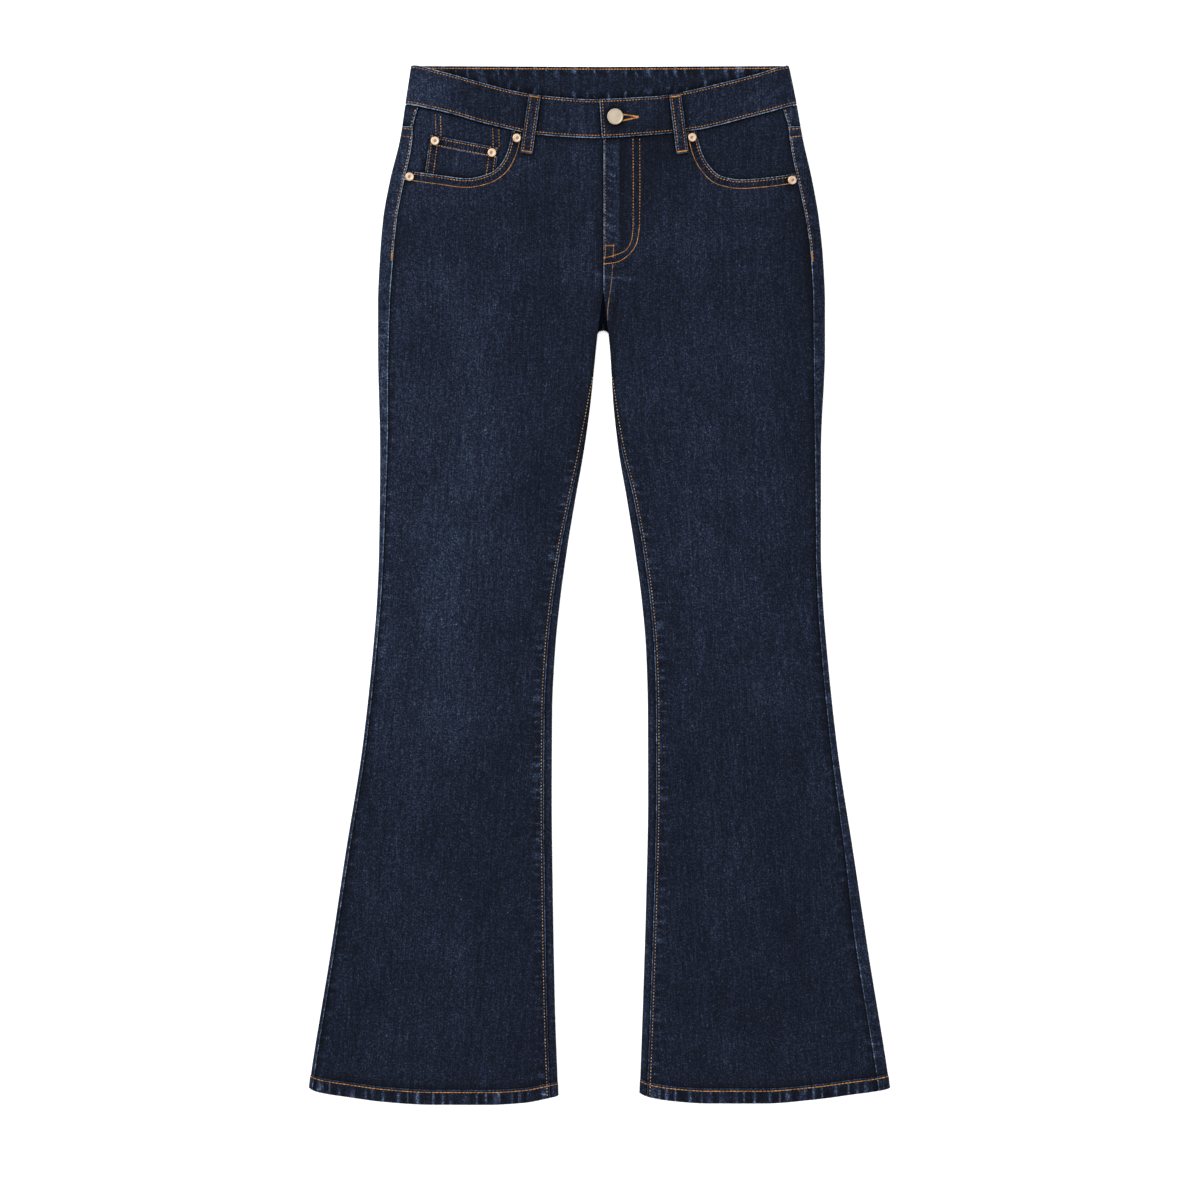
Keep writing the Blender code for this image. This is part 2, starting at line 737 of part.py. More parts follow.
def pocket_bag(side, material):
    """The front pocket's inner wall. Its upper part is the denim that shows in the mouth."""
    depth = POCKET_LEVEL * (2 if side is RIGHT else 1)
    rows = []
    drops = np.linspace(80.0, BAG_END, 7)
    shares = (0.0, 0.25, 0.5, 0.75, 1.0)
    top = [mix(BAG_INNER_ACROSS, side.outseam(46.0) + 2.0, share) for share in shares]
    rows.append([(across, BAND_LOWER(side.name, across) + BAND_GAP) for across in top])
    for drop in drops:
        rows.append([(mix(BAG_INNER_ACROSS, side.outseam(drop) + 2.0, share), drop) for share in shares])
    return patch("front_pocket_" + side.name, side, material, rows, depth, BAG_PLY)


def coin_pocket(material):
    """A small tilted patch pocket on the right front pocket's inner wall."""
    tilt = math.radians(COIN_TILT)
    rows = []
    for down in np.linspace(0, COIN_DEPTH, 5):
        row = []
        for along in np.linspace(0, COIN_WIDTH, 5):
            across = COIN_CORNER[0] - along * math.cos(tilt) + down * math.sin(tilt) * 0.7
            row.append((across, COIN_CORNER[1] + along * math.sin(tilt) + down * math.cos(tilt)))
        rows.append(row)
    return patch("coin_pocket", RIGHT, material, rows, POCKET_LEVEL, PLY)


def fly_sheet(name, reach, drops, depth, thickness, material):
    """A plain sheet under the fly. Its reach is measured to the wearer's left of the middle line."""
    rows = [[(across, drop) for across in np.linspace(*reach, 4)] for drop in np.linspace(*drops, 5)]
    return patch(name, LEFT, material, rows, depth, thickness)


def front_loop(side, material):
    """A belt loop lies on the waistband and ends on the panel under it."""
    (top_across, top_drop), (low_across, low_drop) = FRONT_LOOPS[side.name]
    length = math.hypot(low_across - top_across, low_drop - top_drop)
    along = ((low_across - top_across) / length, (low_drop - top_drop) / length)
    sideways = (along[1], -along[0])
    outside, inside = [], []
    for share in (0.0, 0.08, 0.3, 0.5, 0.66, 0.8, 1.0):
        outside.append([])
        inside.append([])
        for shift in (-LOOP_WIDTH / 2, -LOOP_WIDTH / 6, LOOP_WIDTH / 6, LOOP_WIDTH / 2):
            across = top_across + along[0] * length * share + sideways[0] * shift
            drop = top_drop + along[1] * length * share + sideways[1] * shift
            low = HEIGHTS("top", drop) - HEIGHTS("sag", drop) + GAP
            high = BAND_TOP + GAP
            if side is LEFT:
                high += OVERLAP_LIFT * (1 - ease((across - OVERLAP_FLAT) / (OVERLAP_FADE - OVERLAP_FLAT)))
            base = mix(high, low, ease((share - 0.74) / 0.2)) + LOOP_ARCH * math.sin(math.pi * share) ** 2
            inside[-1].append(side.place(across, drop, base))
            outside[-1].append(side.place(across, drop, base + LOOP_PLY))
    return wall("belt_loop_front_" + side.name, outside, inside, material)


def flat_plate(name, outline, height, material):
    """A flat piece on the resting surface. The outline holds world places in millimetres."""
    bm = bmesh.new()
    face = bm.faces.new([bm.verts.new((x * MM, y * MM, 0)) for x, y in outline])
    made = bmesh.ops.extrude_face_region(bm, geom=[face])
    raised = [item for item in made["geom"] if isinstance(item, bmesh.types.BMVert)]
    bmesh.ops.translate(bm, verts=raised, vec=(0, 0, height * MM))
    bmesh.ops.recalc_face_normals(bm, faces=bm.faces)
    mesh = bpy.data.meshes.new(name)
    bm.to_mesh(mesh)
    bm.free()
    return add(name, mesh, material, smooth=False)


def back_loop(name, middle, material):
    low, high = (LENGTH / 2 - drop for drop in reversed(BACK_LOOP_DROPS))
    left, right = middle - LOOP_WIDTH / 2, middle + LOOP_WIDTH / 2
    outline = [(left, low), (right, low), (right, high), (left, high)]
    return flat_plate(name, outline, BACK_LOOP_PLY, material)


def back_pocket(side, material):
    middle = side.sign * BACK_POCKET_MIDDLE
    top = LENGTH / 2 - BACK_POCKET_TOP
    half, narrow = BACK_POCKET_WIDTH / 2, BACK_POCKET_WIDTH / 2 - 6.0
    outline = [
        (middle - half, top),
        (middle - narrow, top - BACK_POCKET_SIDE),
        (middle, top - BACK_POCKET_POINT),
        (middle + narrow, top - BACK_POCKET_SIDE),
        (middle + half, top),
    ]
    return flat_plate("back_pocket_" + side.name, outline, PLY, material)


def button(material):
    height = BAND_TOP + OVERLAP_LIFT + GAP
    place = LEFT.place(BUTTON_ACROSS, BUTTON_DROP, height)
    rim = BUTTON_RADIUS
    profile = [
        (0.0, 0.0),
        (rim - 2.2, 0.0),
        (rim - 2.0, 0.8),
        (rim - 0.3, 1.0),
        (rim, 1.6),
        (rim - 0.25, 2.5),
        (rim - 0.9, BUTTON_HEIGHT - 0.2),
        (rim - 1.7, BUTTON_HEIGHT - 0.3),
        (0.0, BUTTON_HEIGHT),
    ]
    return turned("button", profile, place, material, 32)


def rivet(name, side_name, across, drop, depth, material):
    side = RIGHT if side_name == "right" else LEFT
    place = skin(side, across, drop, 1, depth - GAP)
    profile = [
        (0.0, 0.0),
        (RIVET_RADIUS, 0.0),
        (RIVET_RADIUS, 0.7),
        (RIVET_RADIUS - 0.8, RIVET_HEIGHT - 0.4),
        (RIVET_RADIUS - 1.8, RIVET_HEIGHT - 0.5),
        (1.9, RIVET_HEIGHT - 0.9),
        (1.3, RIVET_HEIGHT - 0.1),
        (0.0, RIVET_HEIGHT),
    ]
    return turned(name, profile, place, material, 20)


for old in list(bpy.data.objects):
    bpy.data.objects.remove(old, do_unlink=True)

jeans = bpy.data.objects.new("jeans", None)
bpy.context.collection.objects.link(jeans)

denim = finish("denim", "#20273a", 0.85)
bag_cloth = finish("pocket_denim", "#1c2334", 0.85)
tape = finish("zip_tape", "#1b2030", 0.8)
brass = finish("zip_brass", "#a98b58", 0.4, 1.0)
button_metal = finish("button_metal", "#b5ab94", 0.45, 1.0)
copper = finish("rivet_copper", "#cdb096", 0.35, 1.0)

for half in SIDES:
    front_panel(half, denim)
    back_panel(half, denim)
    yoke(half, denim)
    pocket_bag(half, bag_cloth)
    back_pocket(half, denim)
    front_loop(half, denim)
waistband(denim)
coin_pocket(denim)
fly_sheet("fly_shield", SHIELD_REACH, (FLY_TOP, SHIELD_END), POCKET_LEVEL, BAG_PLY, denim)
fly_sheet("fly_zip", ZIP_REACH, (ZIP_TOP, ZIP_END), 0.0, PLY, tape)
fly_sheet("zip_slider", SLIDER_REACH, SLIDER_DROPS, 0.0, PLY, brass)
back_loop("belt_loop_back_right", -BACK_LOOP_ACROSS, denim)
back_loop("belt_loop_back_left", BACK_LOOP_ACROSS, denim)
back_loop("belt_loop_back_middle", MIDDLE_SEAM, denim)
button(button_metal)
for rivet_name, spot in RIVETS.items():
    rivet(rivet_name, *spot, copper)
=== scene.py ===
# %% [markdown]
# # Bootcut jeans, laid flat
# Flared five-pocket jeans in dark indigo denim lie on a pale floor with their front up, seen from
# straight above. The solids of the frame give the size and place of each piece of cloth. Here every
# piece gets a finer sheet on the same form, with seams, puckers, creases, wear and sewing.
# Sizes are in millimetres until a mesh is made, and Blender's own unit is the metre.

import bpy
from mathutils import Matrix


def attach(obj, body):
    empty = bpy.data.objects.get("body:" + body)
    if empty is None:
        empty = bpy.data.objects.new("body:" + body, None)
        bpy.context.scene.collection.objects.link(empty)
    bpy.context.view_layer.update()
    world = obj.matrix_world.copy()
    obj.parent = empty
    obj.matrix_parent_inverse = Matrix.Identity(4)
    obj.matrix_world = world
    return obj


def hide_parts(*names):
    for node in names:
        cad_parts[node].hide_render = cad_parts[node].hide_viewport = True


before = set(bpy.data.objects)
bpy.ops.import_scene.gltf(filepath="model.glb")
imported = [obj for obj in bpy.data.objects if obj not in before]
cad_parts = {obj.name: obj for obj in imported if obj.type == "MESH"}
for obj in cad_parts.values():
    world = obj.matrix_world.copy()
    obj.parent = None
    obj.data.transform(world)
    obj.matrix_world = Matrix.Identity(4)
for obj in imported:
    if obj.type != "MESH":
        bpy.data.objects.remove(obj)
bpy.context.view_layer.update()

import functools
import math

import bmesh
import bpy
import numpy as np

MM = 0.001

# %% [markdown]
# ## The form of the jeans
# A place on the jeans is (across, drop): across runs out from the middle line on one side, and drop
# runs down from the back waist's top edge. A few widths down the leg are enough, because a curve that
# stays within its rows joins them. These are the same charts and sizes that the solids come from.


# %% A chart that is read between its rows
class Chart:
    def __init__(self, names, *rows):
        data = np.array(rows, float)
        self.places = data[:, 0]
        self.columns = dict(zip(names.split()[1:], data[:, 1:].T))
        self.slopes = {name: self.slopes_of(values) for name, values in self.columns.items()}

    def slopes_of(self, values):
        steps = np.diff(self.places)
        rises = np.diff(values) / steps
        slopes = np.zeros(len(values))
        slopes[0], slopes[-1] = rises[0], rises[-1]
        for i in range(1, len(values) - 1):
            if rises[i - 1] * rises[i] > 0:
                near, far = 2 * steps[i] + steps[i - 1], steps[i] + 2 * steps[i - 1]
                slopes[i] = (near + far) / (near / rises[i - 1] + far / rises[i])
        return slopes

    def __call__(self, name, place):
        place = np.clip(place, self.places[0], self.places[-1])
        i = np.clip(np.searchsorted(self.places, place) - 1, 0, len(self.places) - 2)
        step = self.places[i + 1] - self.places[i]
        t = (place - self.places[i]) / step
        values, slopes = self.columns[name], self.slopes[name]
        return (
            values[i] * (1 + 2 * t) * (1 - t) ** 2
            + slopes[i] * step * t * (1 - t) ** 2
            + values[i + 1] * t * t * (3 - 2 * t)
            + slopes[i + 1] * step * t * t * (t - 1)
        )


def mix(low, high, share):
    return low + (high - low) * share


def ease(share):
    share = np.clip(share, 0.0, 1.0)
    return share * share * (3 - 2 * share)


# %% Cloth and seam sizes
PLY = 1.1
GAP = 0.3
BAND_GAP = 0.45
HEM_WALL = 3.0
HEM_DEPTH = 14.0
HEM_RISE = 0.3
BAG_PLY = 1.0
BAND_WALL = 2.4
POCKET_LEVEL = 1.4
LENGTH = 1091.0
MIDDLE_SEAM = 4.35
SEAM_SLANT = 0.6
CROTCH_DROP = 279.0
CROTCH_ROUND = 4.0
INSEAM_START = 238.0
FOLD_LEAVES = 345.0
SAG_RUN = 45.0
BAND_TOP = 8.0
BAND_FLOOR = 1.4
BACK_BAND_TOP = (0.5, 1.5)
BACK_BAND_LOW = (41.5, 43.0)
BAND_EDGE = (0.3, 41.5)
OVERLAP_END = (0.2, 2.9)
UNDERLAP_END = -38.0
OVERLAP_LIFT = 2.7
OVERLAP_FLAT = 40.0
OVERLAP_FADE = 62.0
FLY_EDGE = 4.7
FLY_LIFT = 1.4
FLY_WIDTH = 36.0
FLY_FADE = 46.0
FLY_END = 190.0
FLY_END_FADE = 212.0
UNDER_FLY = 8.0
UNDER_FLY_END = (170.0, 184.0)
YOKE_SIDE_DROP = 64.5
YOKE_BACK_DROP = 108.0
HEM_CORNER = 1073.6
HEM_CURVE_START = 880.0
HEM_REACH = 26.0
HEM_STITCH = 12.9
SEAM_TURNS = 236.0

# %% The outline, the gap between the legs, the seams and the heights
OUTLINE = Chart(
    "drop    right  left",
    (0, 197.5, 199),
    (36, 202.9, 206.4),
    (78, 209.2, 213.9),
    (120, 219.5, 223.4),
    (162, 227, 230.7),
    (204, 230.4, 235),
    (250, 232.3, 237),
    (299, 232.3, 237),
    (404, 230.2, 232.9),
    (509, 231.3, 232.8),
    (561, 233.4, 234.9),
    (614, 237.6, 239.1),
    (719, 249.1, 250.3),
    (824, 265.9, 266.4),
    (929, 281.7, 282.2),
    (1075, 304.9, 305.3),
    (1110, 309, 309.5),
)
INNER = Chart(
    "drop    right  left",
    (279, 1.3, 9.2),
    (299, 3.4, 11.2),
    (351, 8.7, 14.4),
    (404, 16, 20.2),
    (456, 25.2, 29.1),
    (509, 33.9, 37.5),
    (561, 41, 44.5),
    (614, 46.3, 49.1),
    (680, 49.4, 51),
    (771, 49.8, 51.2),
    (876, 48.6, 49.2),
    (981, 46.5, 45.9),
    (1090, 42.3, 41.7),
)
OUTSEAM = Chart(
    "drop    right  left",
    (41, 14.5, 16.5),
    (65, 11.3, 12.9),
    (78, 13, 13.9),
    (110, 15, 15.4),
    (190, 14.2, 12.8),
    (299, 11, 11.8),
    (404, 7.9, 6.4),
    (509, 5, 5.2),
    (614, 3.8, 5.9),
    (719, 3.7, 6.7),
    (834, 3.7, 9.3),
    (920, 3.7, 12.2),
    (1100, 3.9, 11.8),
)
INSEAM = Chart(
    "drop    right  left",
    (279, 0, 0),
    (345, 0, 0),
    (385, 2, 2),
    (451, 4.6, 7),
    (519, 7.1, 8.7),
    (600, 7.8, 8.7),
    (1100, 8.6, 7.6),
)
HEIGHTS = Chart(
    "drop    floor  top  sag",
    (40, 1.4, 7.2, 0.5),
    (240, 1.4, 7.2, 0.5),
    (272, 1.4, 7, 0.6),
    (345, 0, 5.9, 1.2),
    (600, 0, 5.6, 1.3),
    (1000, 0, 6.2, 1.3),
    (1056, 0, 7.3, 0.7),
    (1100, 0, 7.4, 0.6),
)

# %% The waistband's edges, the pocket mouths and the hems
BAND_UPPER = Chart(
    "across  right  left",
    (-40, 34.6, 36.6),
    (0, 36.4, 36.2),
    (60, 32.2, 32.9),
    (89, 27.5, 28.1),
    (127, 17.7, 19.3),
    (166, 6.9, 9.4),
    (197, 0, 0.6),
    (206, 0, 0),
)
BAND_LOWER = Chart(
    "across  right  left",
    (-40, 73.6, 77.4),
    (0, 76.6, 76.9),
    (64, 73, 72.4),
    (103, 65.2, 67.9),
    (128, 59, 62.5),
    (150, 52.4, 56.6),
    (180, 45.4, 48.8),
    (201, 41.5, 42.9),
    (207, 41.5, 41.5),
)
MOUTH = Chart(
    "share   right_across right_drop left_across left_drop",
    (0.00, 91.6, 67.6, 102.1, 68.1),
    (0.07, 92.7, 77, 103.6, 77.5),
    (0.20, 97.5, 94, 108.2, 93.5),
    (0.30, 105, 106.2, 115.4, 105.8),
    (0.41, 118.3, 114.9, 126.5, 115.9),
    (0.56, 139, 119, 147.5, 120.2),
    (0.77, 169, 115.4, 175.5, 118.3),
    (1.00, 202.3, 110.9, 207, 113.8),
)
HEM = Chart(
    "share   right   left",
    (0.00, 1073.6, 1073.6),
    (0.03, 1077, 1075.5),
    (0.16, 1083, 1080.5),
    (0.30, 1087.8, 1085.4),
    (0.50, 1090.9, 1089.6),
    (0.72, 1091, 1089.6),
    (0.86, 1089, 1087.2),
    (0.96, 1084, 1083),
    (1.00, 1081.6, 1079),
)


# %% The two sides, and how a place becomes a point on the flattened tube
class Side:
    def __init__(self, name, sign):
        self.name = name
        self.sign = sign
        self.seam = sign * MIDDLE_SEAM + GAP / 2
        drop = CROTCH_DROP + CROTCH_ROUND
        self.corner = (float(INNER(name, drop)) - CROTCH_ROUND, drop)

    def outer(self, drop):
        return OUTLINE(self.name, drop)

    def inner(self, drop):
        return INNER(self.name, drop)

    def outseam(self, drop):
        return self.outer(drop) - OUTSEAM(self.name, drop)

    def point(self, across, drop, height):
        across, drop, height = np.broadcast_arrays(across, drop, height)
        return np.stack([self.sign * across, LENGTH / 2 - drop, height], -1)


RIGHT = Side("right", -1)
LEFT = Side("left", 1)
SIDES = (RIGHT, LEFT)


def nearest_edge(side, across, drop):
    """How far inside the outline a place is, and the step straight in from that edge."""
    across, drop = np.broadcast_arrays(np.asarray(across, float), np.asarray(drop, float))
    to_outer = side.outer(drop) - across
    beyond, above = across - side.corner[0], side.corner[1] - drop
    away = np.maximum(np.hypot(beyond, above), 1e-9)
    leg, top = above <= 0, (above > 0) & (beyond <= 0)
    to_inner = np.where(leg, across - side.inner(drop), np.where(top, above, away) - CROTCH_ROUND)
    step_across = np.where(leg, 1.0, np.where(top, 0.0, beyond / away))
    step_drop = np.where(leg, 0.0, np.where(top, -1.0, -above / away))
    near_outer = to_outer < to_inner
    inside = np.maximum(np.where(near_outer, to_outer, to_inner), 0.0)
    return inside, np.where(near_outer, -1.0, step_across), np.where(near_outer, 0.0, step_drop)


def skin(side, across, drop, face, depth=0.0, levels=None):
    """The point at a place, depth under the outside of the front (face 1) or the back (face -1)."""
    inside, step_across, step_drop = nearest_edge(side, across, drop)
    if levels:
        floor, top, sag = levels
    else:
        floor, top, sag = (HEIGHTS(name, drop) for name in ("floor", "top", "sag"))
    half = (top - floor) / 2
    flat = inside >= half
    turn = np.arccos(np.clip(1 - inside / half, -1, 1))
    moved = np.where(flat, 0.0, half - (half - depth) * np.cos(turn) - inside)
    sunk = sag * ease((inside - half) / SAG_RUN)
    level = np.where(face > 0, top - sunk - depth, floor + depth)
    round_height = (top + floor) / 2 + face * (half - depth) * np.sin(turn)
    height = np.where(flat, level, round_height)
    return side.point(across + step_across * moved, drop + step_drop * moved, height)


def slanted_seam(side, across, drop, inside):
    """Leans the cut edge of the centre seam, so that nobody sees the floor through its gap."""
    on_seam = (np.abs(across - side.seam) < 1e-6) & (drop < side.corner[1] + 1)
    inside[..., 0] += SEAM_SLANT * on_seam
    return inside


print("The legs are", float(OUTLINE("left", 404) - INNER("left", 404)), "mm wide at the thigh")

# %% [markdown]
# ## Creases and swellings
# Pressed jeans are never flat. The cloth has a slow swell, a few soft folds across the hips and knees,
# and drag lines that fan out from the crotch. Each is a soft ridge along a short line. On a ridge the
# cloth is paler, partly from worn dye and partly as painted light, and in a hollow it is darker, as
# painted shade, so the same table drives the form and the tone.

# %% Soft ridges, as lines on each side
CREASES = (
    # side, across and drop of both ends, half width, height, paler: worn dye and painted light, painted
    # shade below 0
    ("right", 10, 214, 52, 232, 6, 0.55, 0.030),
    ("right", 18, 196, 90, 206, 7, 0.40, 0.015),
    ("right", 60, 172, 175, 168, 8, 0.45, 0.014),
    ("right", 95, 148, 188, 143, 7, 0.40, 0.014),
    ("right", 125, 222, 216, 216, 9, 0.45, 0.012),
    ("right", 30, 238, 120, 246, 8, -0.45, -0.014),
    ("right", 14, 262, 74, 284, 7, 0.40, 0.016),
    ("right", 60, 330, 150, 322, 16, 0.35, 0.006),
    ("right", 70, 560, 190, 545, 18, 0.35, 0.008),
    ("right", 80, 602, 200, 612, 16, -0.35, -0.006),
    ("right", -3.5, 222, 5, 216.5, 1.5, 0.30, 0.200),
    ("left", -12, 220.5, 44, 225.5, 1.5, 0.45, 0.185),
    ("left", 12, 216.5, 34, 210, 3, -0.35, -0.070),
    ("left", 13, 229.5, 34, 241, 3, 0.35, 0.050),
    ("left", 20, 227, 14, 275, 2.8, -0.45, -0.130),
    ("left", 13.6, 222, 14.6, 250, 1.7, 0.25, 0.100),
    ("left", 24, 262, 52, 300, 7, 0.40, 0.016),
    ("left", 22.4, 70, 22.4, 182, 1.6, -0.25, -0.020),
    ("left", 26.5, 80, 26.5, 170, 3, 0.10, 0.012),
    ("left", 46, 168, 110, 158, 7, 0.45, 0.018),
    ("left", 60, 188, 205, 178, 8, 0.50, 0.022),
    ("left", 52, 206, 150, 208, 7, -0.45, -0.012),
    ("left", 90, 226, 214, 214, 9, 0.40, 0.014),
    ("left", 20, 252, 96, 272, 8, 0.40, 0.010),
    ("left", 60, 452, 160, 446, 8, 0.40, 0.012),
    ("left", 70, 470, 190, 462, 12, -0.40, -0.012),
    ("left", 80, 556, 190, 548, 16, 0.30, 0.008),
)
SWELLS = (
    # length of a wave across and down, start, height
    (150, 420, 0.3, 0.22),
    (96, 260, 1.7, 0.16),
    (240, 170, 4.1, 0.14),
    (70, 640, 2.6, 0.10),
)


def near_line(x, y, x0, y0, x1, y1):
    """Distance from a line, and how far along it, from 0 to 1."""
    run_x, run_y = x1 - x0, y1 - y0
    along = np.clip(((x - x0) * run_x + (y - y0) * run_y) / (run_x**2 + run_y**2), 0, 1)
    return np.hypot(x - x0 - along * run_x, y - y0 - along * run_y), along


def relief(side, across, drop):
    """How far the soft creases lift the front, and how much paler or darker they paint it: worn dye and
    painted light on a ridge, painted shade in a hollow.
    """
    lift = np.zeros(np.broadcast(across, drop).shape)
    crease_wear_and_painted_light = np.zeros_like(lift)
    for name, across0, drop0, across1, drop1, width, height, paler in CREASES:
        if name == side.name:
            away, along = near_line(across, drop, across0, drop0, across1, drop1)
            shape = np.exp(-((away / width) ** 2)) * np.sin(np.pi * np.clip(along, 0.03, 0.97)) ** 0.6
            lift += height * shape
            crease_wear_and_painted_light += paler * shape
    for wide, long, start, height in SWELLS:
        lift += height * np.sin(math.tau * (side.sign * across / wide + drop / long) + start)
    return lift, crease_wear_and_painted_light


# %% Broad lighter and darker areas of the cloth
TONES = (
    # side, across, drop, reach across, reach down, paler
    ("right", 152, 400, 40, 190, 0.040),
    ("right", 128, 290, 40, 50, 0.030),
    ("right", 158, 570, 42, 120, 0.040),
    ("right", 160, 670, 40, 60, 0.045),
    ("right", 222, 420, 40, 300, 0.040),
    ("right", 229, 440, 10, 180, 0.125),
    ("right", 122, 375, 30, 70, 0.025),
    ("right", 160, 450, 36, 60, 0.022),
    ("right", 262, 790, 14, 40, 0.050),
    ("right", 192, 42, 28, 52, 0.110),
    ("right", 62, 440, 16, 160, -0.020),
    ("right", 188, 136, 30, 26, 0.045),
    ("right", 76, 92, 14, 26, 0.040),
    ("right", 14, 160, 20, 56, 0.022),
    ("right", 18, 380, 16, 90, -0.065),
    ("right", 90, 760, 30, 90, -0.025),
    ("right", 50, 640, 16, 60, -0.030),
    ("right", 50, 960, 22, 140, -0.050),
    ("right", 80, 975, 30, 60, -0.030),
    ("right", 150, 1050, 110, 30, -0.010),
    ("left", 118, 330, 50, 130, 0.020),
    ("left", 120, 500, 56, 110, 0.014),
    ("left", 145, 600, 60, 110, 0.020),
    ("left", 110, 740, 50, 90, -0.018),
    ("left", 215, 420, 24, 150, -0.025),
    ("left", 186, 870, 26, 80, -0.036),
    ("left", 180, 1010, 90, 80, -0.030),
    ("left", 44, 85, 42, 36, -0.068),
    ("left", 60, 152, 50, 30, -0.030),
    ("left", 226, 180, 18, 80, -0.120),
    ("left", 252, 840, 26, 90, -0.028),
    ("left", 172, 162, 26, 24, -0.030),
    ("left", 46, 250, 22, 64, -0.020),
    ("left", 106, 126, 14, 18, 0.032),
)


def broad_tone(side, across, drop):
    tone = np.zeros(np.broadcast(across, drop).shape)
    for name, across0, drop0, wide, long, paler in TONES:
        if name == side.name:
            tone += paler * np.exp(-(((across - across0) / wide) ** 2) - ((drop - drop0) / long) ** 2)
    return tone


print(len(CREASES), "creases and", len(TONES), "areas of tone")

# %% [markdown]
# ## Nodes and colours
# Colours are written as sRGB hex, as a colour picker shows them, and one function turns them to the
# linear values that a shader works in. One more function adds a node with its settings and links.


# %% Helpers for materials
def linear(colour):
    channels = [int(colour[i : i + 2], 16) / 255 for i in (1, 3, 5)]
    return [*(c / 12.92 if c <= 0.04045 else ((c + 0.055) / 1.055) ** 2.4 for c in channels), 1.0]


def node(tree, kind, links=None, **settings):
    """Adds a node. Settings are its own. Links go to its sockets, and a node gives its first output."""
    made = tree.nodes.new(kind)
    for name, value in settings.items():
        setattr(made, name, value)
    for socket, value in (links or {}).items():
        if isinstance(value, bpy.types.Node):
            value = value.outputs[0]
        if isinstance(value, bpy.types.NodeSocket):
            tree.links.new(value, made.inputs[socket])
        else:
            made.inputs[socket].default_value = value
    return made


def new_material(name, **values):
    """A Principled material with its plain values set on the shader's own sockets."""
    material = bpy.data.materials.new(name)
    material.use_nodes = True
    shader = material.node_tree.nodes["Principled BSDF"]
    for socket, value in values.items():
        shader.inputs[socket.replace("_", " ")].default_value = value
    return material, material.node_tree, shader


def fill_ramp(ramp, stops):
    """Puts colours on a ramp, each at its position, from the lowest to the highest."""
    elements = ramp.color_ramp.elements
    for element, (position, colour) in zip(elements, (stops[0], stops[-1])):
        element.position, element.color = position, linear(colour)
    for position, colour in stops[1:-1]:
        elements.new(position).color = linear(colour)


# %% [markdown]
# ## Denim
# Denim is a twill of indigo warp threads over white weft. The dye sits only on the outside of each
# warp thread, so it goes pale wherever cloth is rubbed: on folded edges, over seams and on the tops of
# puckers. One ramp from near black to pale blue holds all these fades, and everything that darkens or
# rubs the cloth only moves the place on that ramp. The warp's uneven threads give fine streaks down
# the leg. Each sheet carries its distances from its seams as attributes, so the puckers follow them.

# %% The marks that each sheet carries, and the sizes of the weave
MARKS = {
    "weft": 0.0,  # mm across the leg, from the line of its grain
    "warp": 0.0,  # mm down the grain
    "side": 99.0,  # mm from a long seam
    "side_run": 0.0,  # puckers counted along it
    "side_gain": 0.0,
    "end": 99.0,  # mm from a cross seam or hem
    "end_run": 0.0,
    "end_gain": 0.0,
    "edge": 99.0,  # mm from a rubbed edge
    "worn": 0.0,
    # under: near such an edge the cloth is painted darker, as the shade that the edge casts
    "under": 99.0,  # mm from an edge that lies on this cloth
    # tone: broad lighter and darker areas, with painted light and shade at the creases, the fork and the
    # fly's facing
    "tone": 0.0,
}
WEAVE = {
    # mm across and down, detail, layer of the noise, roughness
    "fleck": (1.5, 1.6, 1.0, 1.3, 0.6),
    "lint": (2.0, 2.6, 1.0, 8.9, 0.5),
    "thread": (1.1, 22.0, 1.0, 5.1, 0.5),  # real ones are 0.5 mm, drawn this coarse so that they show
    "slub": (2.6, 70.0, 2.0, 9.7, 0.5),
    "cloud": (46.0, 69.0, 2.0, 3.3, 0.5),
    "speck": (1.5, 3.4, 1.0, 12.6, 0.6),
    "patch": (9.0, 9.0, 1.0, 4.4, 0.5),
    "rub": (6.0, 6.0, 2.0, 7.7, 0.6),
}
TWILL_LINE = 0.9
TWILL_SLOPE = 0.55
PUCKER_REACH = {"side": 13.0, "end": 15.0}
DYE = (
    # from the shadow side of a thread to rubbed bare
    (0.00, "#04050a"),
    (0.30, "#090b13"),
    (0.45, "#0d121d"),
    (0.55, "#161c2c"),
    (0.68, "#273042"),
    (0.82, "#49576e"),
    (1.00, "#8899af"),
)
SOFT = {"interpolation_type": "SMOOTHSTEP"}


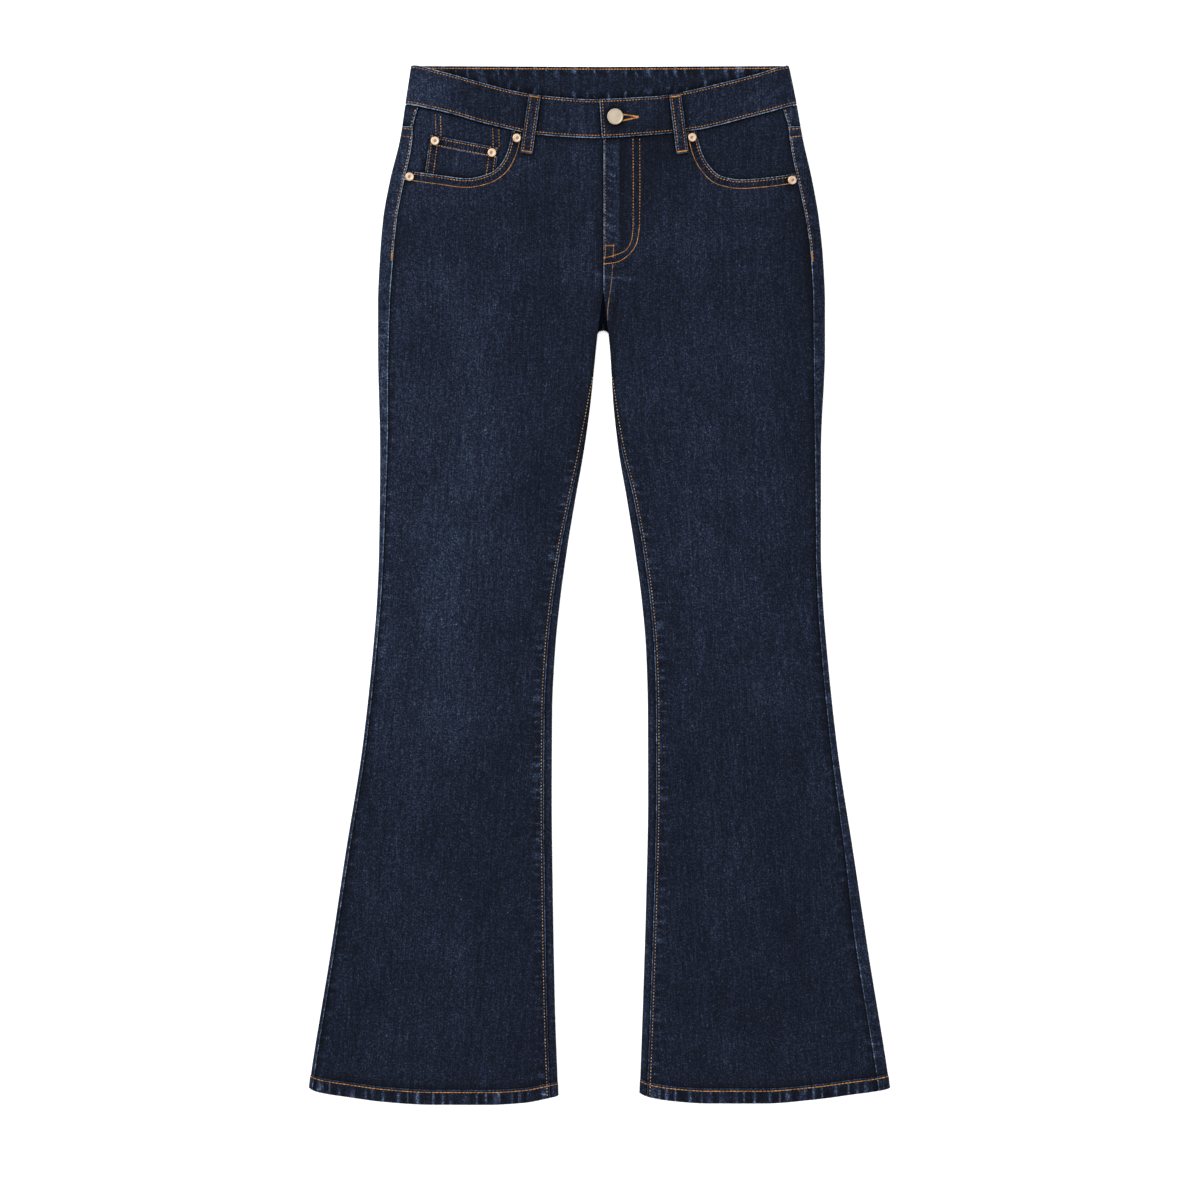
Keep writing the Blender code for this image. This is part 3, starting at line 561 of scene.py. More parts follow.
# %% The denim
def denim(name, middle=0.489):
    """Indigo denim. It takes little light and gives almost no gloss, because it is matt cotton."""
    material, tree, shader = new_material(name, Roughness=0.92, Sheen_Roughness=0.6)
    add = functools.partial(node, tree)
    mark = {key: add("ShaderNodeAttribute", attribute_name=key).outputs["Fac"] for key in MARKS}
    cloth = add("ShaderNodeCombineXYZ", {0: mark["weft"], 1: mark["warp"]})
    noise = {}
    for key, (across, down, detail, layer, rough) in WEAVE.items():
        links = {"Vector": cloth, "Location": (0, 0, layer), "Scale": (1 / across, 1 / down, 1)}
        place = add("ShaderNodeMapping", links)
        links = {"Vector": place, "Scale": 1.0, "Detail": detail, "Roughness": rough}
        noise[key] = add("ShaderNodeTexNoise", links)

    # Curled fibres are thin pale lines where a soft noise crosses its middle. Undyed specks are few.
    from_middle = add("ShaderNodeMath", {0: noise["lint"], 1: 0.5}, operation="SUBTRACT")
    from_middle = add("ShaderNodeMath", {0: from_middle}, operation="ABSOLUTE")
    fibre = add("ShaderNodeMapRange", {0: from_middle, 1: 0.065, 2: 0.0}, **SOFT)
    speck = add("ShaderNodeMapRange", {0: noise["speck"], 1: 0.63, 2: 0.78}, **SOFT)

    # Puckers: narrow pale tops across a seam, with wide dark hollows between.
    puckers = 0.0
    for key, reach in PUCKER_REACH.items():
        turn = add("ShaderNodeMath", {0: mark[key + "_run"], 1: math.tau}, operation="MULTIPLY")
        wave = add("ShaderNodeMath", {0: turn}, operation="COSINE")
        top = add("ShaderNodeMapRange", {0: wave, 1: 0.35, 2: 0.95}, **SOFT)
        hollow = add("ShaderNodeMapRange", {0: wave, 1: 0.2, 2: -0.7, 4: 0.55}, **SOFT)
        height = add("ShaderNodeMath", {0: top, 1: hollow}, operation="SUBTRACT")
        links = {0: mark[key], 1: reach, 2: reach * 0.3, 4: mark[key + "_gain"]}
        near = add("ShaderNodeMapRange", links, **SOFT)
        puckers = add("ShaderNodeMath", {0: height, 1: near, 2: puckers}, operation="MULTIPLY_ADD")
    patchy = add("ShaderNodeMapRange", {0: noise["patch"], 1: 0.32, 2: 0.62, 3: 0.15, 4: 1.25}, **SOFT)
    puckers = add("ShaderNodeMath", {0: puckers, 1: patchy}, operation="MULTIPLY")

    # Rubbed edges, broken up a little along their length, and the shade under an edge.
    rubbed = add("ShaderNodeMapRange", {0: mark["edge"], 1: 1.2, 2: 0.3, 4: mark["worn"]}, **SOFT)
    broken = add("ShaderNodeMapRange", {0: noise["rub"], 1: 0.30, 2: 0.56, 3: 0.70}, **SOFT)
    rubbed = add("ShaderNodeMath", {0: rubbed, 1: broken}, operation="MULTIPLY")
    close = add("ShaderNodeMapRange", {0: mark["under"], 1: 2.4, 2: 0.3, 4: -0.34}, **SOFT)
    around = add("ShaderNodeMapRange", {0: mark["under"], 1: 9.0, 2: 0.5, 4: -0.10}, **SOFT)

    # The place on the ramp: each part moves it by its weight, about its own middle.
    parts = (
        (noise["fleck"], 0.5, 0.57),
        (fibre, 0.25, 0.13),
        (speck, 0.0, 0.11),
        (noise["thread"], 0.5, 0.24),
        (noise["slub"], 0.5, 0.14),
        (noise["cloud"], 0.5, 0.14),
        (puckers, 0.0, 0.14),
        (rubbed, 0.0, 0.45),
        (close, 0.0, 1.0),
        (around, 0.0, 1.0),
        (mark["tone"], 0.0, 1.0),
    )
    shade = middle - sum(centre * weight for _, centre, weight in parts)
    for value, _, weight in parts:
        shade = add("ShaderNodeMath", {0: value, 1: weight, 2: shade}, operation="MULTIPLY_ADD")
    ramp = add("ShaderNodeValToRGB", {"Fac": shade})
    fill_ramp(ramp, DYE)
    tree.links.new(ramp.outputs["Color"], shader.inputs["Base Color"])

    # Deep in the fork, where the tone is lowest, hardly any light comes back.
    for socket, most in (("Specular IOR Level", 0.05), ("Sheen Weight", 0.015)):
        lit = add("ShaderNodeMapRange", {0: mark["tone"], 1: -0.40, 2: -0.15, 4: most}, **SOFT)
        tree.links.new(lit.outputs[0], shader.inputs[socket])

    # The surface: how many millimetres each part raises it.
    links = {0: mark["warp"], 1: TWILL_SLOPE, 2: mark["weft"]}
    diagonal = add("ShaderNodeMath", links, operation="MULTIPLY_ADD")
    turn = add("ShaderNodeMath", {0: diagonal, 1: math.tau / TWILL_LINE}, operation="MULTIPLY")
    twill = add("ShaderNodeMath", {0: turn}, operation="SINE")
    height = 0.0
    for value, most in ((twill, 0.03), (noise["fleck"], 0.30), (noise["thread"], 0.14), (puckers, 0.42)):
        height = add("ShaderNodeMath", {0: value, 1: most, 2: height}, operation="MULTIPLY_ADD")
    bump = add("ShaderNodeBump", {"Height": height, "Distance": MM, "Strength": 0.9})
    tree.links.new(bump.outputs["Normal"], shader.inputs["Normal"])
    return material


indigo_denim = denim("indigo_cotton_denim")
# A darker copy of the same denim, with painted shade in its colour, for the pocket walls and the zip tape
# that lie under other cloth.
pocket_denim = denim("indigo_cotton_denim_in_shade", middle=0.468)
print("Denim with", len(indigo_denim.node_tree.nodes), "nodes")

# %% [markdown]
# ## Thread, copper, nickel and brass
# Topstitching thread is a fat polyester and cotton cord in tobacco orange. The rivets are copper
# plated, the button is pale nickel that was brushed before plating, and the zip is brass.


# %% Thread and metals
def thread_material(name, colour, pale, patches=170.0, twists=1600.0):
    """Twisted thread: fine lines across it show the twist, and its dye is patchy. Counts are in a metre."""
    material, tree, shader = new_material(name, Roughness=0.62, Specular_IOR_Level=0.25)
    place = node(tree, "ShaderNodeTexCoord").outputs["Object"]
    patchy = node(tree, "ShaderNodeTexNoise", {"Vector": place, "Scale": patches, "Detail": 2.0})
    ramp = node(tree, "ShaderNodeValToRGB", {"Fac": patchy})
    fill_ramp(ramp, ((0.34, colour), (0.66, pale)))
    tree.links.new(ramp.outputs["Color"], shader.inputs["Base Color"])
    links = {"Vector": place, "Scale": twists, "Distortion": 0.6}
    twist = node(tree, "ShaderNodeTexWave", links, bands_direction="DIAGONAL").outputs["Fac"]
    bump = node(tree, "ShaderNodeBump", {"Height": twist, "Distance": 0.12 * MM, "Strength": 0.6})
    tree.links.new(bump.outputs["Normal"], shader.inputs["Normal"])
    return material


def metal(name, colour, dark, roughness, patches):
    """Plated and tumbled metal. Hands have dulled it in small patches, which are counted in a metre."""
    material, tree, shader = new_material(name, Metallic=1.0)
    place = node(tree, "ShaderNodeTexCoord").outputs["Object"]
    dull = node(tree, "ShaderNodeTexNoise", {"Vector": place, "Scale": patches, "Detail": 3.0})
    ramp = node(tree, "ShaderNodeValToRGB", {"Fac": dull})
    fill_ramp(ramp, ((0.3, dark), (0.6, colour)))
    tree.links.new(ramp.outputs["Color"], shader.inputs["Base Color"])
    links = {0: dull, 1: 0.3, 2: 0.7, 3: roughness - 0.08, 4: roughness + 0.10}
    rough = node(tree, "ShaderNodeMapRange", links, **SOFT)
    tree.links.new(rough.outputs[0], shader.inputs["Roughness"])
    return material


tobacco_thread = thread_material("tobacco_cotton_thread", "#84542a", "#c8924f")
tan_thread = thread_material("tan_cotton_thread", "#6e4e38", "#bd9f78")
# The same tobacco thread, painted dark brown for the shade it lies in at the fly's edge and in the fork.
tobacco_thread_in_painted_shade = thread_material("brown_cotton_thread", "#3d2c24", "#8a6c50")
copper = metal("copper_plated_brass", "#c6b09b", "#b49c86", 0.42, 260.0)
nickel = metal("brushed_nickel_plate", "#aca08f", "#a59887", 0.46, 160.0)
# A darker copper for the rivet's pit: painted shade in its hollow.
copper_with_painted_pit_shade = metal("copper_in_the_rivet_pit", "#9a7d65", "#876a53", 0.50, 400.0)
brass = metal("satin_brass", "#b39762", "#8a6f3f", 0.38, 600.0)
print("Materials:", [material.name for material in bpy.data.materials])

# %% [markdown]
# ## A sheet of cloth from a grid
# Each piece is a closed wall: one grid of points outside, one inside, and a rim where the grid ends.
# The outermost points sink a little towards the inside, so a cut or folded edge looks soft.


# %% The sheet builder
MADE = []


def place_object(name, data):
    made = bpy.data.objects.new(name, data)
    bpy.context.collection.objects.link(made)
    return made


def shell(name, outside, inside, material, marks=None, present=None, soften=0.3, lining=None):
    """A closed wall from two grids of points. lining holds the marks that differ on the inside."""
    outside, inside = np.array(outside, float), np.array(inside, float)
    rows, columns = outside.shape[:2]
    present = np.ones((rows, columns), bool) if present is None else present
    cells = present[:-1, :-1] & present[:-1, 1:] & present[1:, :-1] & present[1:, 1:]
    index = np.arange(rows * columns).reshape(rows, columns)
    corners = np.stack([index[:-1, :-1], index[:-1, 1:], index[1:, 1:], index[1:, :-1]], -1)[cells]
    starts, ends = corners.reshape(-1), np.roll(corners, -1, axis=1).reshape(-1)
    count = rows * columns
    forward, backward = starts * count + ends, ends * count + starts
    on_rim = ~np.isin(forward, backward)
    rim_start, rim_end = starts[on_rim], ends[on_rim]
    flat_outside, flat_inside = outside.reshape(-1, 3), inside.reshape(-1, 3)
    rim_points = np.unique(rim_start)
    flat_outside[rim_points] = mix(flat_outside[rim_points], flat_inside[rim_points], soften)
    points = np.concatenate([flat_outside, flat_inside]) * MM
    rim = np.stack([rim_end, rim_start, rim_start + count, rim_end + count], -1)
    faces = np.concatenate([corners, corners[:, ::-1] + count, rim])
    used, packed = np.unique(faces, return_inverse=True)
    faces, points = packed.reshape(faces.shape), points[used]
    quads = points[faces]
    facing = np.cross(quads[:, 2] - quads[:, 0], quads[:, 3] - quads[:, 1])
    volume = (quads.mean(1) * facing).sum() / 6
    if volume < 0:
        faces = faces[:, ::-1]
    mesh = bpy.data.meshes.new(name)
    mesh.from_pydata(points.tolist(), [], faces.tolist())
    mesh.polygons.foreach_set("use_smooth", np.ones(len(faces), bool))
    marks = MARKS | (marks or {})
    for key in MARKS:
        given = (marks[key], (lining or marks).get(key, marks[key]))
        values = [np.broadcast_to(np.asarray(value, float), (rows, columns)) for value in given]
        layer = mesh.attributes.new(key, "FLOAT", "POINT")
        layer.data.foreach_set("value", np.ravel(values)[used].astype(np.float32))
    mesh.update()
    mesh.materials.append(material)
    piece = place_object(name, mesh)
    MADE.append((piece, (outside + inside) / 2, cells))
    return piece


def stand_for(piece, *nodes, slot="denim"):
    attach(piece, "root")
    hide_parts(*nodes)
    return piece


def uneven(run, start=0.0):
    """Puckers counted along a seam, a little unevenly spaced."""
    return run + 0.24 * np.sin(1.9 * run + start) + 0.13 * np.sin(5.3 * run + 2 * start)


def grain(side, across, drop):
    """Places across and down the grain, which leans out with each leg's middle line."""
    return {"weft": side.sign * (across - 0.075 * np.maximum(drop - 250.0, 0.0)), "warp": drop}


def nearest(*gaps):
    """The smallest of several distances, and never less than 0."""
    return np.maximum(np.minimum.reduce(np.broadcast_arrays(*gaps)), 0)


# %% [markdown]
# ## Fronts
# The front panels end at the fly or centre seam, at the inseam and at the outseam. Above, they meet
# the waistband, and their pocket mouths curve down to the outseam. Seam edges stand up where several
# layers are folded under them: that gives the pale ridge beside each row of stitches.


# %% Where a front ends
def front_inner(side, drop):
    share = (drop - INSEAM_START) / (CROTCH_DROP - INSEAM_START)
    on_fork = mix(side.seam, side.inner(CROTCH_DROP), share)
    on_leg = side.inner(drop) + INSEAM(side.name, drop)
    return np.where(drop <= INSEAM_START, side.seam, np.where(drop <= CROTCH_DROP, on_fork, on_leg))


def front_edge(side, drop):
    if side is RIGHT:
        start, end = UNDER_FLY_END
        under = (FLY_EDGE + UNDER_FLY - MIDDLE_SEAM) * (1 - ease((drop - start) / (end - start)))
        return front_inner(side, drop) - under
    return np.where(drop < FLY_END, FLY_EDGE, front_inner(side, drop))


def fly_lift(side, across, drop):
    if side is RIGHT:
        return np.zeros(np.broadcast(across, drop).shape)
    beside = 1 - ease((across - FLY_WIDTH) / (FLY_FADE - FLY_WIDTH))
    along = 1 - ease((drop - FLY_END) / (FLY_END_FADE - FLY_END))
    return FLY_LIFT * beside * along


def mouth_at(side, share):
    return MOUTH(side.name + "_across", share), MOUTH(side.name + "_drop", share)


def mouth_distance(side, across, drop):
    """How far a place is from the pocket's mouth, and how far along the mouth. Far places get 99."""
    across, drop = np.broadcast_arrays(np.asarray(across, float), np.asarray(drop, float))
    away, run = np.full(across.shape, 99.0), np.zeros(across.shape)
    close = (drop < 175.0) & (across > 60.0)
    mouth_across, mouth_drop = mouth_at(side, np.linspace(0, 1, 300))
    along = np.r_[0, np.cumsum(np.hypot(np.diff(mouth_across), np.diff(mouth_drop)))]
    gaps = np.hypot(across[close][:, None] - mouth_across, drop[close][:, None] - mouth_drop)
    away[close], run[close] = gaps.min(1), along[gaps.argmin(1)]
    return away, run


FRONT_LOOPS = {
    # across and drop of the top and of the low end
    "right": ((67.5, 31.6), (76.4, 92.9)),
    "left": ((79.5, 31.4), (87.4, 92.9)),
}
LOOP_WIDTH = 12.5


def loop_axis(side):
    """A front belt loop's top end, its direction and its length."""
    (top_across, top_drop), (low_across, low_drop) = FRONT_LOOPS[side.name]
    length = math.hypot(low_across - top_across, low_drop - top_drop)
    return top_across, top_drop, (low_across - top_across) / length, (low_drop - top_drop) / length, length


def past_loop(side, across, drop):
    """How far a place is outside the front belt loop."""
    top_across, top_drop, run_across, run_drop, length = loop_axis(side)
    along = (across - top_across) * run_across + (drop - top_drop) * run_drop
    shift = np.abs((across - top_across) * run_drop - (drop - top_drop) * run_across) - LOOP_WIDTH / 2
    return np.maximum(np.maximum(shift, 0), np.maximum(along - length, -along))


RIVETS = {
    # side, across, drop, how far the cloth under it lies below the front
    "rivet_pocket_top_right": (RIGHT, 86.4, 76.6, 0.0),
    "rivet_pocket_side_right": (RIGHT, 198.9, 117.3, 0.0),
    "rivet_pocket_top_left": (LEFT, 97.6, 76.0, 0.0),
    "rivet_pocket_side_left": (LEFT, 202.4, 120.9, 0.0),
    "rivet_coin_side": (RIGHT, 172.4, 79.5, POCKET_LEVEL),
    "rivet_coin_middle": (RIGHT, 112.6, 91.8, POCKET_LEVEL),
}
RIVET_SHADE = 4.75  # radius of the cloth that a rivet covers and shades


def past_rivets(side, across, drop):
    places = [(x, y) for rivet_side, x, y, _ in RIVETS.values() if rivet_side is side]
    return np.minimum.reduce([np.hypot(across - x, drop - y) - RIVET_SHADE for x, y in places])


def felled(distance, width=2.9, rise=0.45):
    """The ridge of a folded seam edge: high up to the stitches, low on them, and gone 8 mm further on."""
    ridge = rise * ease(distance / 0.8) * (1 - 0.75 * ease((distance - width + 0.6) / 0.7))
    swell = 0.25 * rise * ease((distance - width) / 1.2) * (1 - ease((distance - width - 2) / 6))
    return ridge * (distance < width + 0.4) + swell


def front_lift(side, across, drop):
    """All that raises a front over the plain form."""
    inside, _, _ = nearest_edge(side, across, drop)
    soft, _ = relief(side, across, drop)
    lift = fly_lift(side, across, drop) + soft * ease((inside - 4) / 22.0) * ease((drop - 84) / 40.0)
    from_inseam = across - front_edge(side, drop)
    below_fork = ease((drop - SEAM_TURNS) / 10.0)
    lift = lift + felled(from_inseam) * below_fork
    if side is LEFT:
        lift = lift + felled(from_inseam, 2.6, 0.35) * (1 - below_fork)
    from_lip, _ = mouth_distance(side, across, drop)
    return lift + felled(from_lip)


# %% The fine grid of a front
INNER_STEPS = np.array(
    [0, 0.3, 0.8, 1.6, 2.4, 2.9, 3.5, 4.6, 6, 8, 10.5, 13, 14.6, 15.9, 17.2, 19.5, 22.5, 27, 31.3]
)
MOUTH_START = 0.34
MOUTH_SHARE_AT = (
    # share of a front's width, and the share of the mouth above it
    (MOUTH_START, 0.41, 0.49, 0.58, 0.70, 0.85, 1.0),
    (0.0, 0.17, 0.3, 0.44, 0.62, 0.82, 1.0),
)
BEFORE_MOUTH, BELOW_MOUTH = np.linspace(0, MOUTH_START, 15)[1:], np.linspace(MOUTH_START, 0.97, 36)[1:]
OUTER_SHARES = np.r_[BEFORE_MOUTH, BELOW_MOUTH, 0.98, 0.988, 0.994, 0.998, 1]
UPPER_STEPS = np.array([0, 0.008, 0.02, 0.04, 0.065, 0.095, 0.13, *np.linspace(0.18, 0.96, 16)])[:, None]
FIRST_LEVEL = 150.0


def level_places(side, drop):
    """A front's columns at each drop: fixed steps beside the inner edge, then shares of the rest."""
    drop = np.asarray(drop, float)[:, None]
    low, high = front_edge(side, drop), side.outseam(drop) - GAP
    rest = low + INNER_STEPS[-1]
    return np.concatenate([low + INNER_STEPS, mix(rest, high, OUTER_SHARES)], 1)


def hem_bend(side, across, drop):
    share = np.clip((side.outer(drop) - across) / (side.outer(drop) - side.inner(drop)), 0, 1)
    weight = ease((drop - HEM_CURVE_START) / (HEM_CORNER - HEM_CURVE_START)) * (drop > HEM_CURVE_START)
    return drop + weight * (HEM(side.name, share) - HEM_CORNER)


FLY_END_ROWS = np.arange(206, 248, 1.9)
LEG_ROWS = np.r_[
    np.arange(FIRST_LEVEL, 205, 3.1), FLY_END_ROWS, np.arange(249, HEM_CORNER - HEM_REACH, 3.1)
]
HEM_OVER = np.array([24, 20, 17.5, 15.6, 14.9, 14.2, 13.4, 12.9, 12.4, 11.4, 9.4, 7, 4.6, 2.6, 1.2, 0.4, 0])


def wall_and_rise(over):
    """A hem's wall is three layers thick up to its stitches, and stands over the leg a little."""
    turned = ease((HEM_DEPTH + 0.6 - over) / 0.8)
    groove = 0.25 * np.exp(-(((over - HEM_STITCH) / 0.7) ** 2))
    rolled = 0.5 * ease((1.2 - over) / 1.2)
    return mix(PLY, HEM_WALL, turned), (HEM_RISE + 0.12) * turned - groove - rolled


def front_panel(side):
    below = level_places(side, [FIRST_LEVEL])[0]
    shares = np.r_[np.full(len(INNER_STEPS), -1.0), OUTER_SHARES]
    on_mouth = shares >= MOUTH_START
    mouth_across, mouth_drop = mouth_at(side, np.interp(shares, *MOUTH_SHARE_AT))
    top = np.where(on_mouth, mouth_across, below)
    top_drop = BAND_LOWER(side.name, top) + BAND_GAP
    top_drop = np.where(on_mouth, np.maximum(mouth_drop, top_drop), top_drop)
    top[-1] = side.outseam(top_drop[-1]) - GAP
    upper = mix(top, below, UPPER_STEPS)
    upper_drop = mix(top_drop, FIRST_LEVEL, UPPER_STEPS)
    upper[:, -1] = side.outseam(upper_drop[:, -1]) - GAP
    rows = np.r_[LEG_ROWS, HEM_CORNER - HEM_OVER]
    legs = level_places(side, rows)
    legs_drop = hem_bend(side, legs, rows[:, None])
    across = np.concatenate([upper, legs])
    drop = np.concatenate([upper_drop, legs_drop])
    over = np.r_[np.full(len(UPPER_STEPS), 99.0), HEM_CORNER - rows][:, None] + np.zeros_like(across)
    wall, rise = wall_and_rise(over)
    lift = front_lift(side, across, drop)
    outside = skin(side, across, drop, 1, -(lift + rise))
    inside = skin(side, across, drop, 1, wall - lift * 0.9)
    inside[..., 2] = np.minimum(inside[..., 2], outside[..., 2] - 0.5)
    return across, drop, over, outside, slanted_seam(side, across, drop, inside)


def above_hem(over):
    """How far a place lies above the hem's upper edge, whose step shades the leg."""
    return np.where((over > 15.0) & (over < 40), over - 15.0, 99)


def nearest_rubbed(*edges):
    """Of several edges, each with its wear, the distance and wear of the nearest."""
    values = np.broadcast_arrays(*[np.asarray(part, float) for edge in edges for part in edge])
    away, wear = np.stack(values[::2]), np.stack(values[1::2])
    nearest = away.argmin(0)[None]
    return {"edge": away.min(0), "worn": np.take_along_axis(wear, nearest, 0)[0]}


def front_marks(side, across, drop, over):
    marks = grain(side, across, drop)
    from_inner = across - front_edge(side, drop)
    from_outer = side.outseam(drop) - GAP - across
    near_inner, above_fork, in_hem = from_inner < from_outer, drop < SEAM_TURNS, over < 30
    lip, lip_run = mouth_distance(side, across, drop)
    left = side is LEFT
    fly = (1 - ease((drop - 182) / 14)) * left

    # Puckers beside the long seams, then across the hem and along the pocket's mouth.
    past_ridge = np.maximum(from_inner - 3.4, 0) * np.where(above_fork, 0.85, 1.0)
    marks["side"] = np.where(near_inner, past_ridge, from_outer)
    leg_run = np.where(near_inner, uneven(drop / 11.5, side.sign), uneven(drop / 14.0, 2.0 + side.sign))
    fly_run = uneven((drop + 0.05 * (from_inner - 12.0) ** 2) / 9.5, 0.7)
    marks["side_run"] = np.where(near_inner & above_fork, fly_run, leg_run)
    outer_gain = 0.12 + 0.33 * ease((drop - 240) / 100.0)
    seam_gain = 0.75 * ease((drop - FOLD_LEAVES) / 90.0) * ease((from_inner - 2.6) / 1.6)
    marks["side_gain"] = np.where(near_inner, np.where(above_fork, 0.55 * fly, seam_gain), outer_gain)
    marks["end"] = np.where(in_hem, np.where(over < 12.6, 3.0, 99), np.minimum(lip * 1.45, 99))
    marks["end_run"] = np.where(in_hem, uneven(across / 11.8, side.sign), uneven(lip_run / 3.6))
    marks["end_gain"] = np.where(in_hem, 1.2 * ease((from_inner - 8.0) / 3.0) + 0.1, 0.9)

    # Rubbed edges, and the edges that lie on this front and shade it.
    fly_wear = 0.95 * left * (1 - ease((drop - 234) / 14))
    marks |= nearest_rubbed(
        (from_inner, fly_wear + 0.72 * ease((drop - 335) / 60.0)),
        (from_outer, 0.15),
        (lip, 1.0),
        (np.abs(over - 15.2) + 0.35, 0.6),
        (over + 0.3, 0.35),
    )
    from_band = drop - BAND_LOWER(side.name, across) - BAND_GAP
    marks["under"] = nearest(
        np.where(across < 112, from_band + 0.2, 99),
        from_outer + 0.25,
        past_loop(side, across, drop),
        past_rivets(side, across, drop),
        above_hem(over),
        99 if left else np.where(drop < 262, FLY_EDGE + across, 99),
    )

    # The tone: painted shade beside the dark gap at the fork, the pale strip over the fly's facing and the
    # painted shadow past its edge, the creases' worn dye and painted light, and folded hems.
    _, crease_wear_and_painted_light = relief(side, across, drop)
    painted_shade_by_fork = (1 - ease(from_inner / 8.0)) * ease((drop - 262) / 30) * (1 - ease((drop - 370) / 70))
    facing = ease((from_inner - 1.5) / 2) * (1 - ease((from_inner - 15.7) / 1.4)) * fly
    painted_shadow_past_facing = ease((from_inner - 15.9) / 1.2) * (1 - ease((from_inner - 17.5) / 9.5)) * fly
    facing = 0.05 * facing * (1 + 0.8 * ease((from_inner - 10.5) / 3.5)) - 0.10 * painted_shadow_past_facing
    under_curve = -0.035 * left * ease((drop - 199) / 2) * (1 - ease((drop - 207) / 2)) * (across < 26)
    mouth_hem = 0.03 * ease((lip - 1.6) / 1.0) * (1 - ease((lip - 8.8) / 0.8))
    in_block = ease((from_inner - 3.4) / 1.0) * (1 - ease((from_inner - 9.5) / 1.5))
    seam_in_hem = 0.13 * (over < 12.6) * in_block
    tone = crease_wear_and_painted_light + broad_tone(side, across, drop) - 0.12 * painted_shade_by_fork + facing
    marks["tone"] = tone + under_curve - mouth_hem + seam_in_hem
    return marks


for side in SIDES:
    across, drop, over, outside, inside = front_panel(side)
    marks = front_marks(side, across, drop, over)
    piece = shell(f"cloth_front_{side.name}", outside, inside, indigo_denim, marks, soften=0.25)
    stand_for(piece, f"front_{side.name}")
    print(piece.name, len(piece.data.polygons), "faces")

# %% [markdown]
# ## Backs
# A back panel is wider than its front, so it turns over both folds and shows as a strip beside each
# seam. At the crotch its rows fan round the corner of the gap, so that no cloth is pinched.


# %% Rows of a back: the outer fold, the flat underside, and the inner fold
def half_height(drop):
    return (HEIGHTS("top", drop) - HEIGHTS("floor", drop)) / 2


FOLD_TURNS = np.radians(np.linspace(80.0, -80.0, 13))
TOP_SHARES = np.array([0, 0.03, 0.09, 0.2, 0.35, 0.52, 0.7, 0.86, 1.0])
TOP_COLUMNS = len(TOP_SHARES)
UNDER_COLUMNS = 34
INNER_COLUMNS = 15


def outer_places(side, drop):
    half = float(half_height(drop))
    seam, fold = float(side.outseam(drop)), float(side.outer(drop)) - half
    across = np.r_[mix(seam, fold, TOP_SHARES), fold + half * np.cos(FOLD_TURNS)]
    faces = np.r_[np.ones(TOP_COLUMNS), np.where(FOLD_TURNS >= 0, 1, -1)]
    return across, np.full(len(across), drop), faces


def under_places(side, outer_drop, end):
    start = float(side.outer(outer_drop) - half_height(outer_drop))
    shares = np.linspace(0, 1, UNDER_COLUMNS)
    return mix(start, end[0], shares), mix(outer_drop, end[1], shares), np.full(UNDER_COLUMNS, -1.0)


def inner_places(edge, step, reach, half, gap):
    quarter = half * math.pi / 2
    turn = math.acos(1 - min(reach, half) / half)
    last = (half * turn if reach < half else quarter + reach - half) - gap
    shares = np.linspace(0, 1, INNER_COLUMNS + 1)[1:]
    shares[-2] = 1 - 0.35 / (last + quarter)
    runs = mix(-quarter, last, shares)
    inside = np.where(runs < quarter, half * (1 - np.cos(runs / half)), half + runs - quarter)
    faces = np.where(runs >= 0, 1.0, -1.0)
    return edge[0] + step[0] * inside, edge[1] + step[1] * inside, faces, last - runs


def reach_of_inseam(side, edge, step):
    near, far = 0.0, CROTCH_DROP - INSEAM_START
    for _ in range(30):
        middle = (near + far) / 2
        across, drop = edge[0] + step[0] * middle, edge[1] + step[1] * middle
        if across < float(front_inner(side, np.float64(drop))) - 1e-4:
            near = middle
        else:
            far = middle
    return near


def join(*parts):
    return [np.concatenate(arrays) for arrays in zip(*parts)]


# %% All rows of a back, from the yoke to the hem
ROW_STARTS = (64.5, 84.0, 115.0, 150.0, 194.0, 242.0, 256.0)  # a row's drop at the side fold
ROW_ENDS = (108.0, 120.0, 142.0, 167.0, 202.0, 246.0, 264.0)  # and its drop at the centre seam
FORK_TURNS = (0.0, 18.0, 36.0, 72.0, 90.0)  # degrees round the corner of the gap
FORK_GAPS = (2.0, 2.2, 2.0, 2.2, 7.0)  # how many gaps the back's edge keeps from the front's


def seat_rows(side):
    """Down to the fork a row ends at the centre seam and has no inner fold."""
    missing = (np.zeros(INNER_COLUMNS),) * 3
    for outer_drop in np.r_[64.5, 65.0, 66.0, np.arange(68.0, 256.0, 4.0), 256.0]:
        inner_drop = float(np.interp(outer_drop, ROW_STARTS, ROW_ENDS))
        under = under_places(side, outer_drop, (side.seam, inner_drop))
        yield join(outer_places(side, outer_drop), under, missing), None


def fork_fans(side):
    """Each fork row's point on the edge, the step in from it, its turn, and its drop at the side fold."""
    for share in (0.0, 0.5, 0.99):
        edge = mix(side.seam, side.corner[0], share), CROTCH_DROP
        yield edge, (0.0, -1.0), 90.0, mix(264.0, 269.0, share)
    for turn in np.arange(90.0, -0.1, -7.5):
        step = math.cos(math.radians(turn)), -math.sin(math.radians(turn))
        edge = [corner + CROTCH_ROUND * move for corner, move in zip(side.corner, step)]
        yield edge, step, turn, mix(294.0, 269.0, turn / 90.0)


def fork_rows(side):
    half = float(half_height(CROTCH_DROP))
    for edge, step, turn, outer_drop in fork_fans(side):
        gap = GAP * float(np.interp(turn, FORK_TURNS, FORK_GAPS))
        base = (edge[0] + step[0] * half, edge[1] + step[1] * half)
        *wrap, left_over = inner_places(edge, step, reach_of_inseam(side, edge, step), half, gap)
        yield join(outer_places(side, outer_drop), under_places(side, outer_drop, base), wrap), left_over


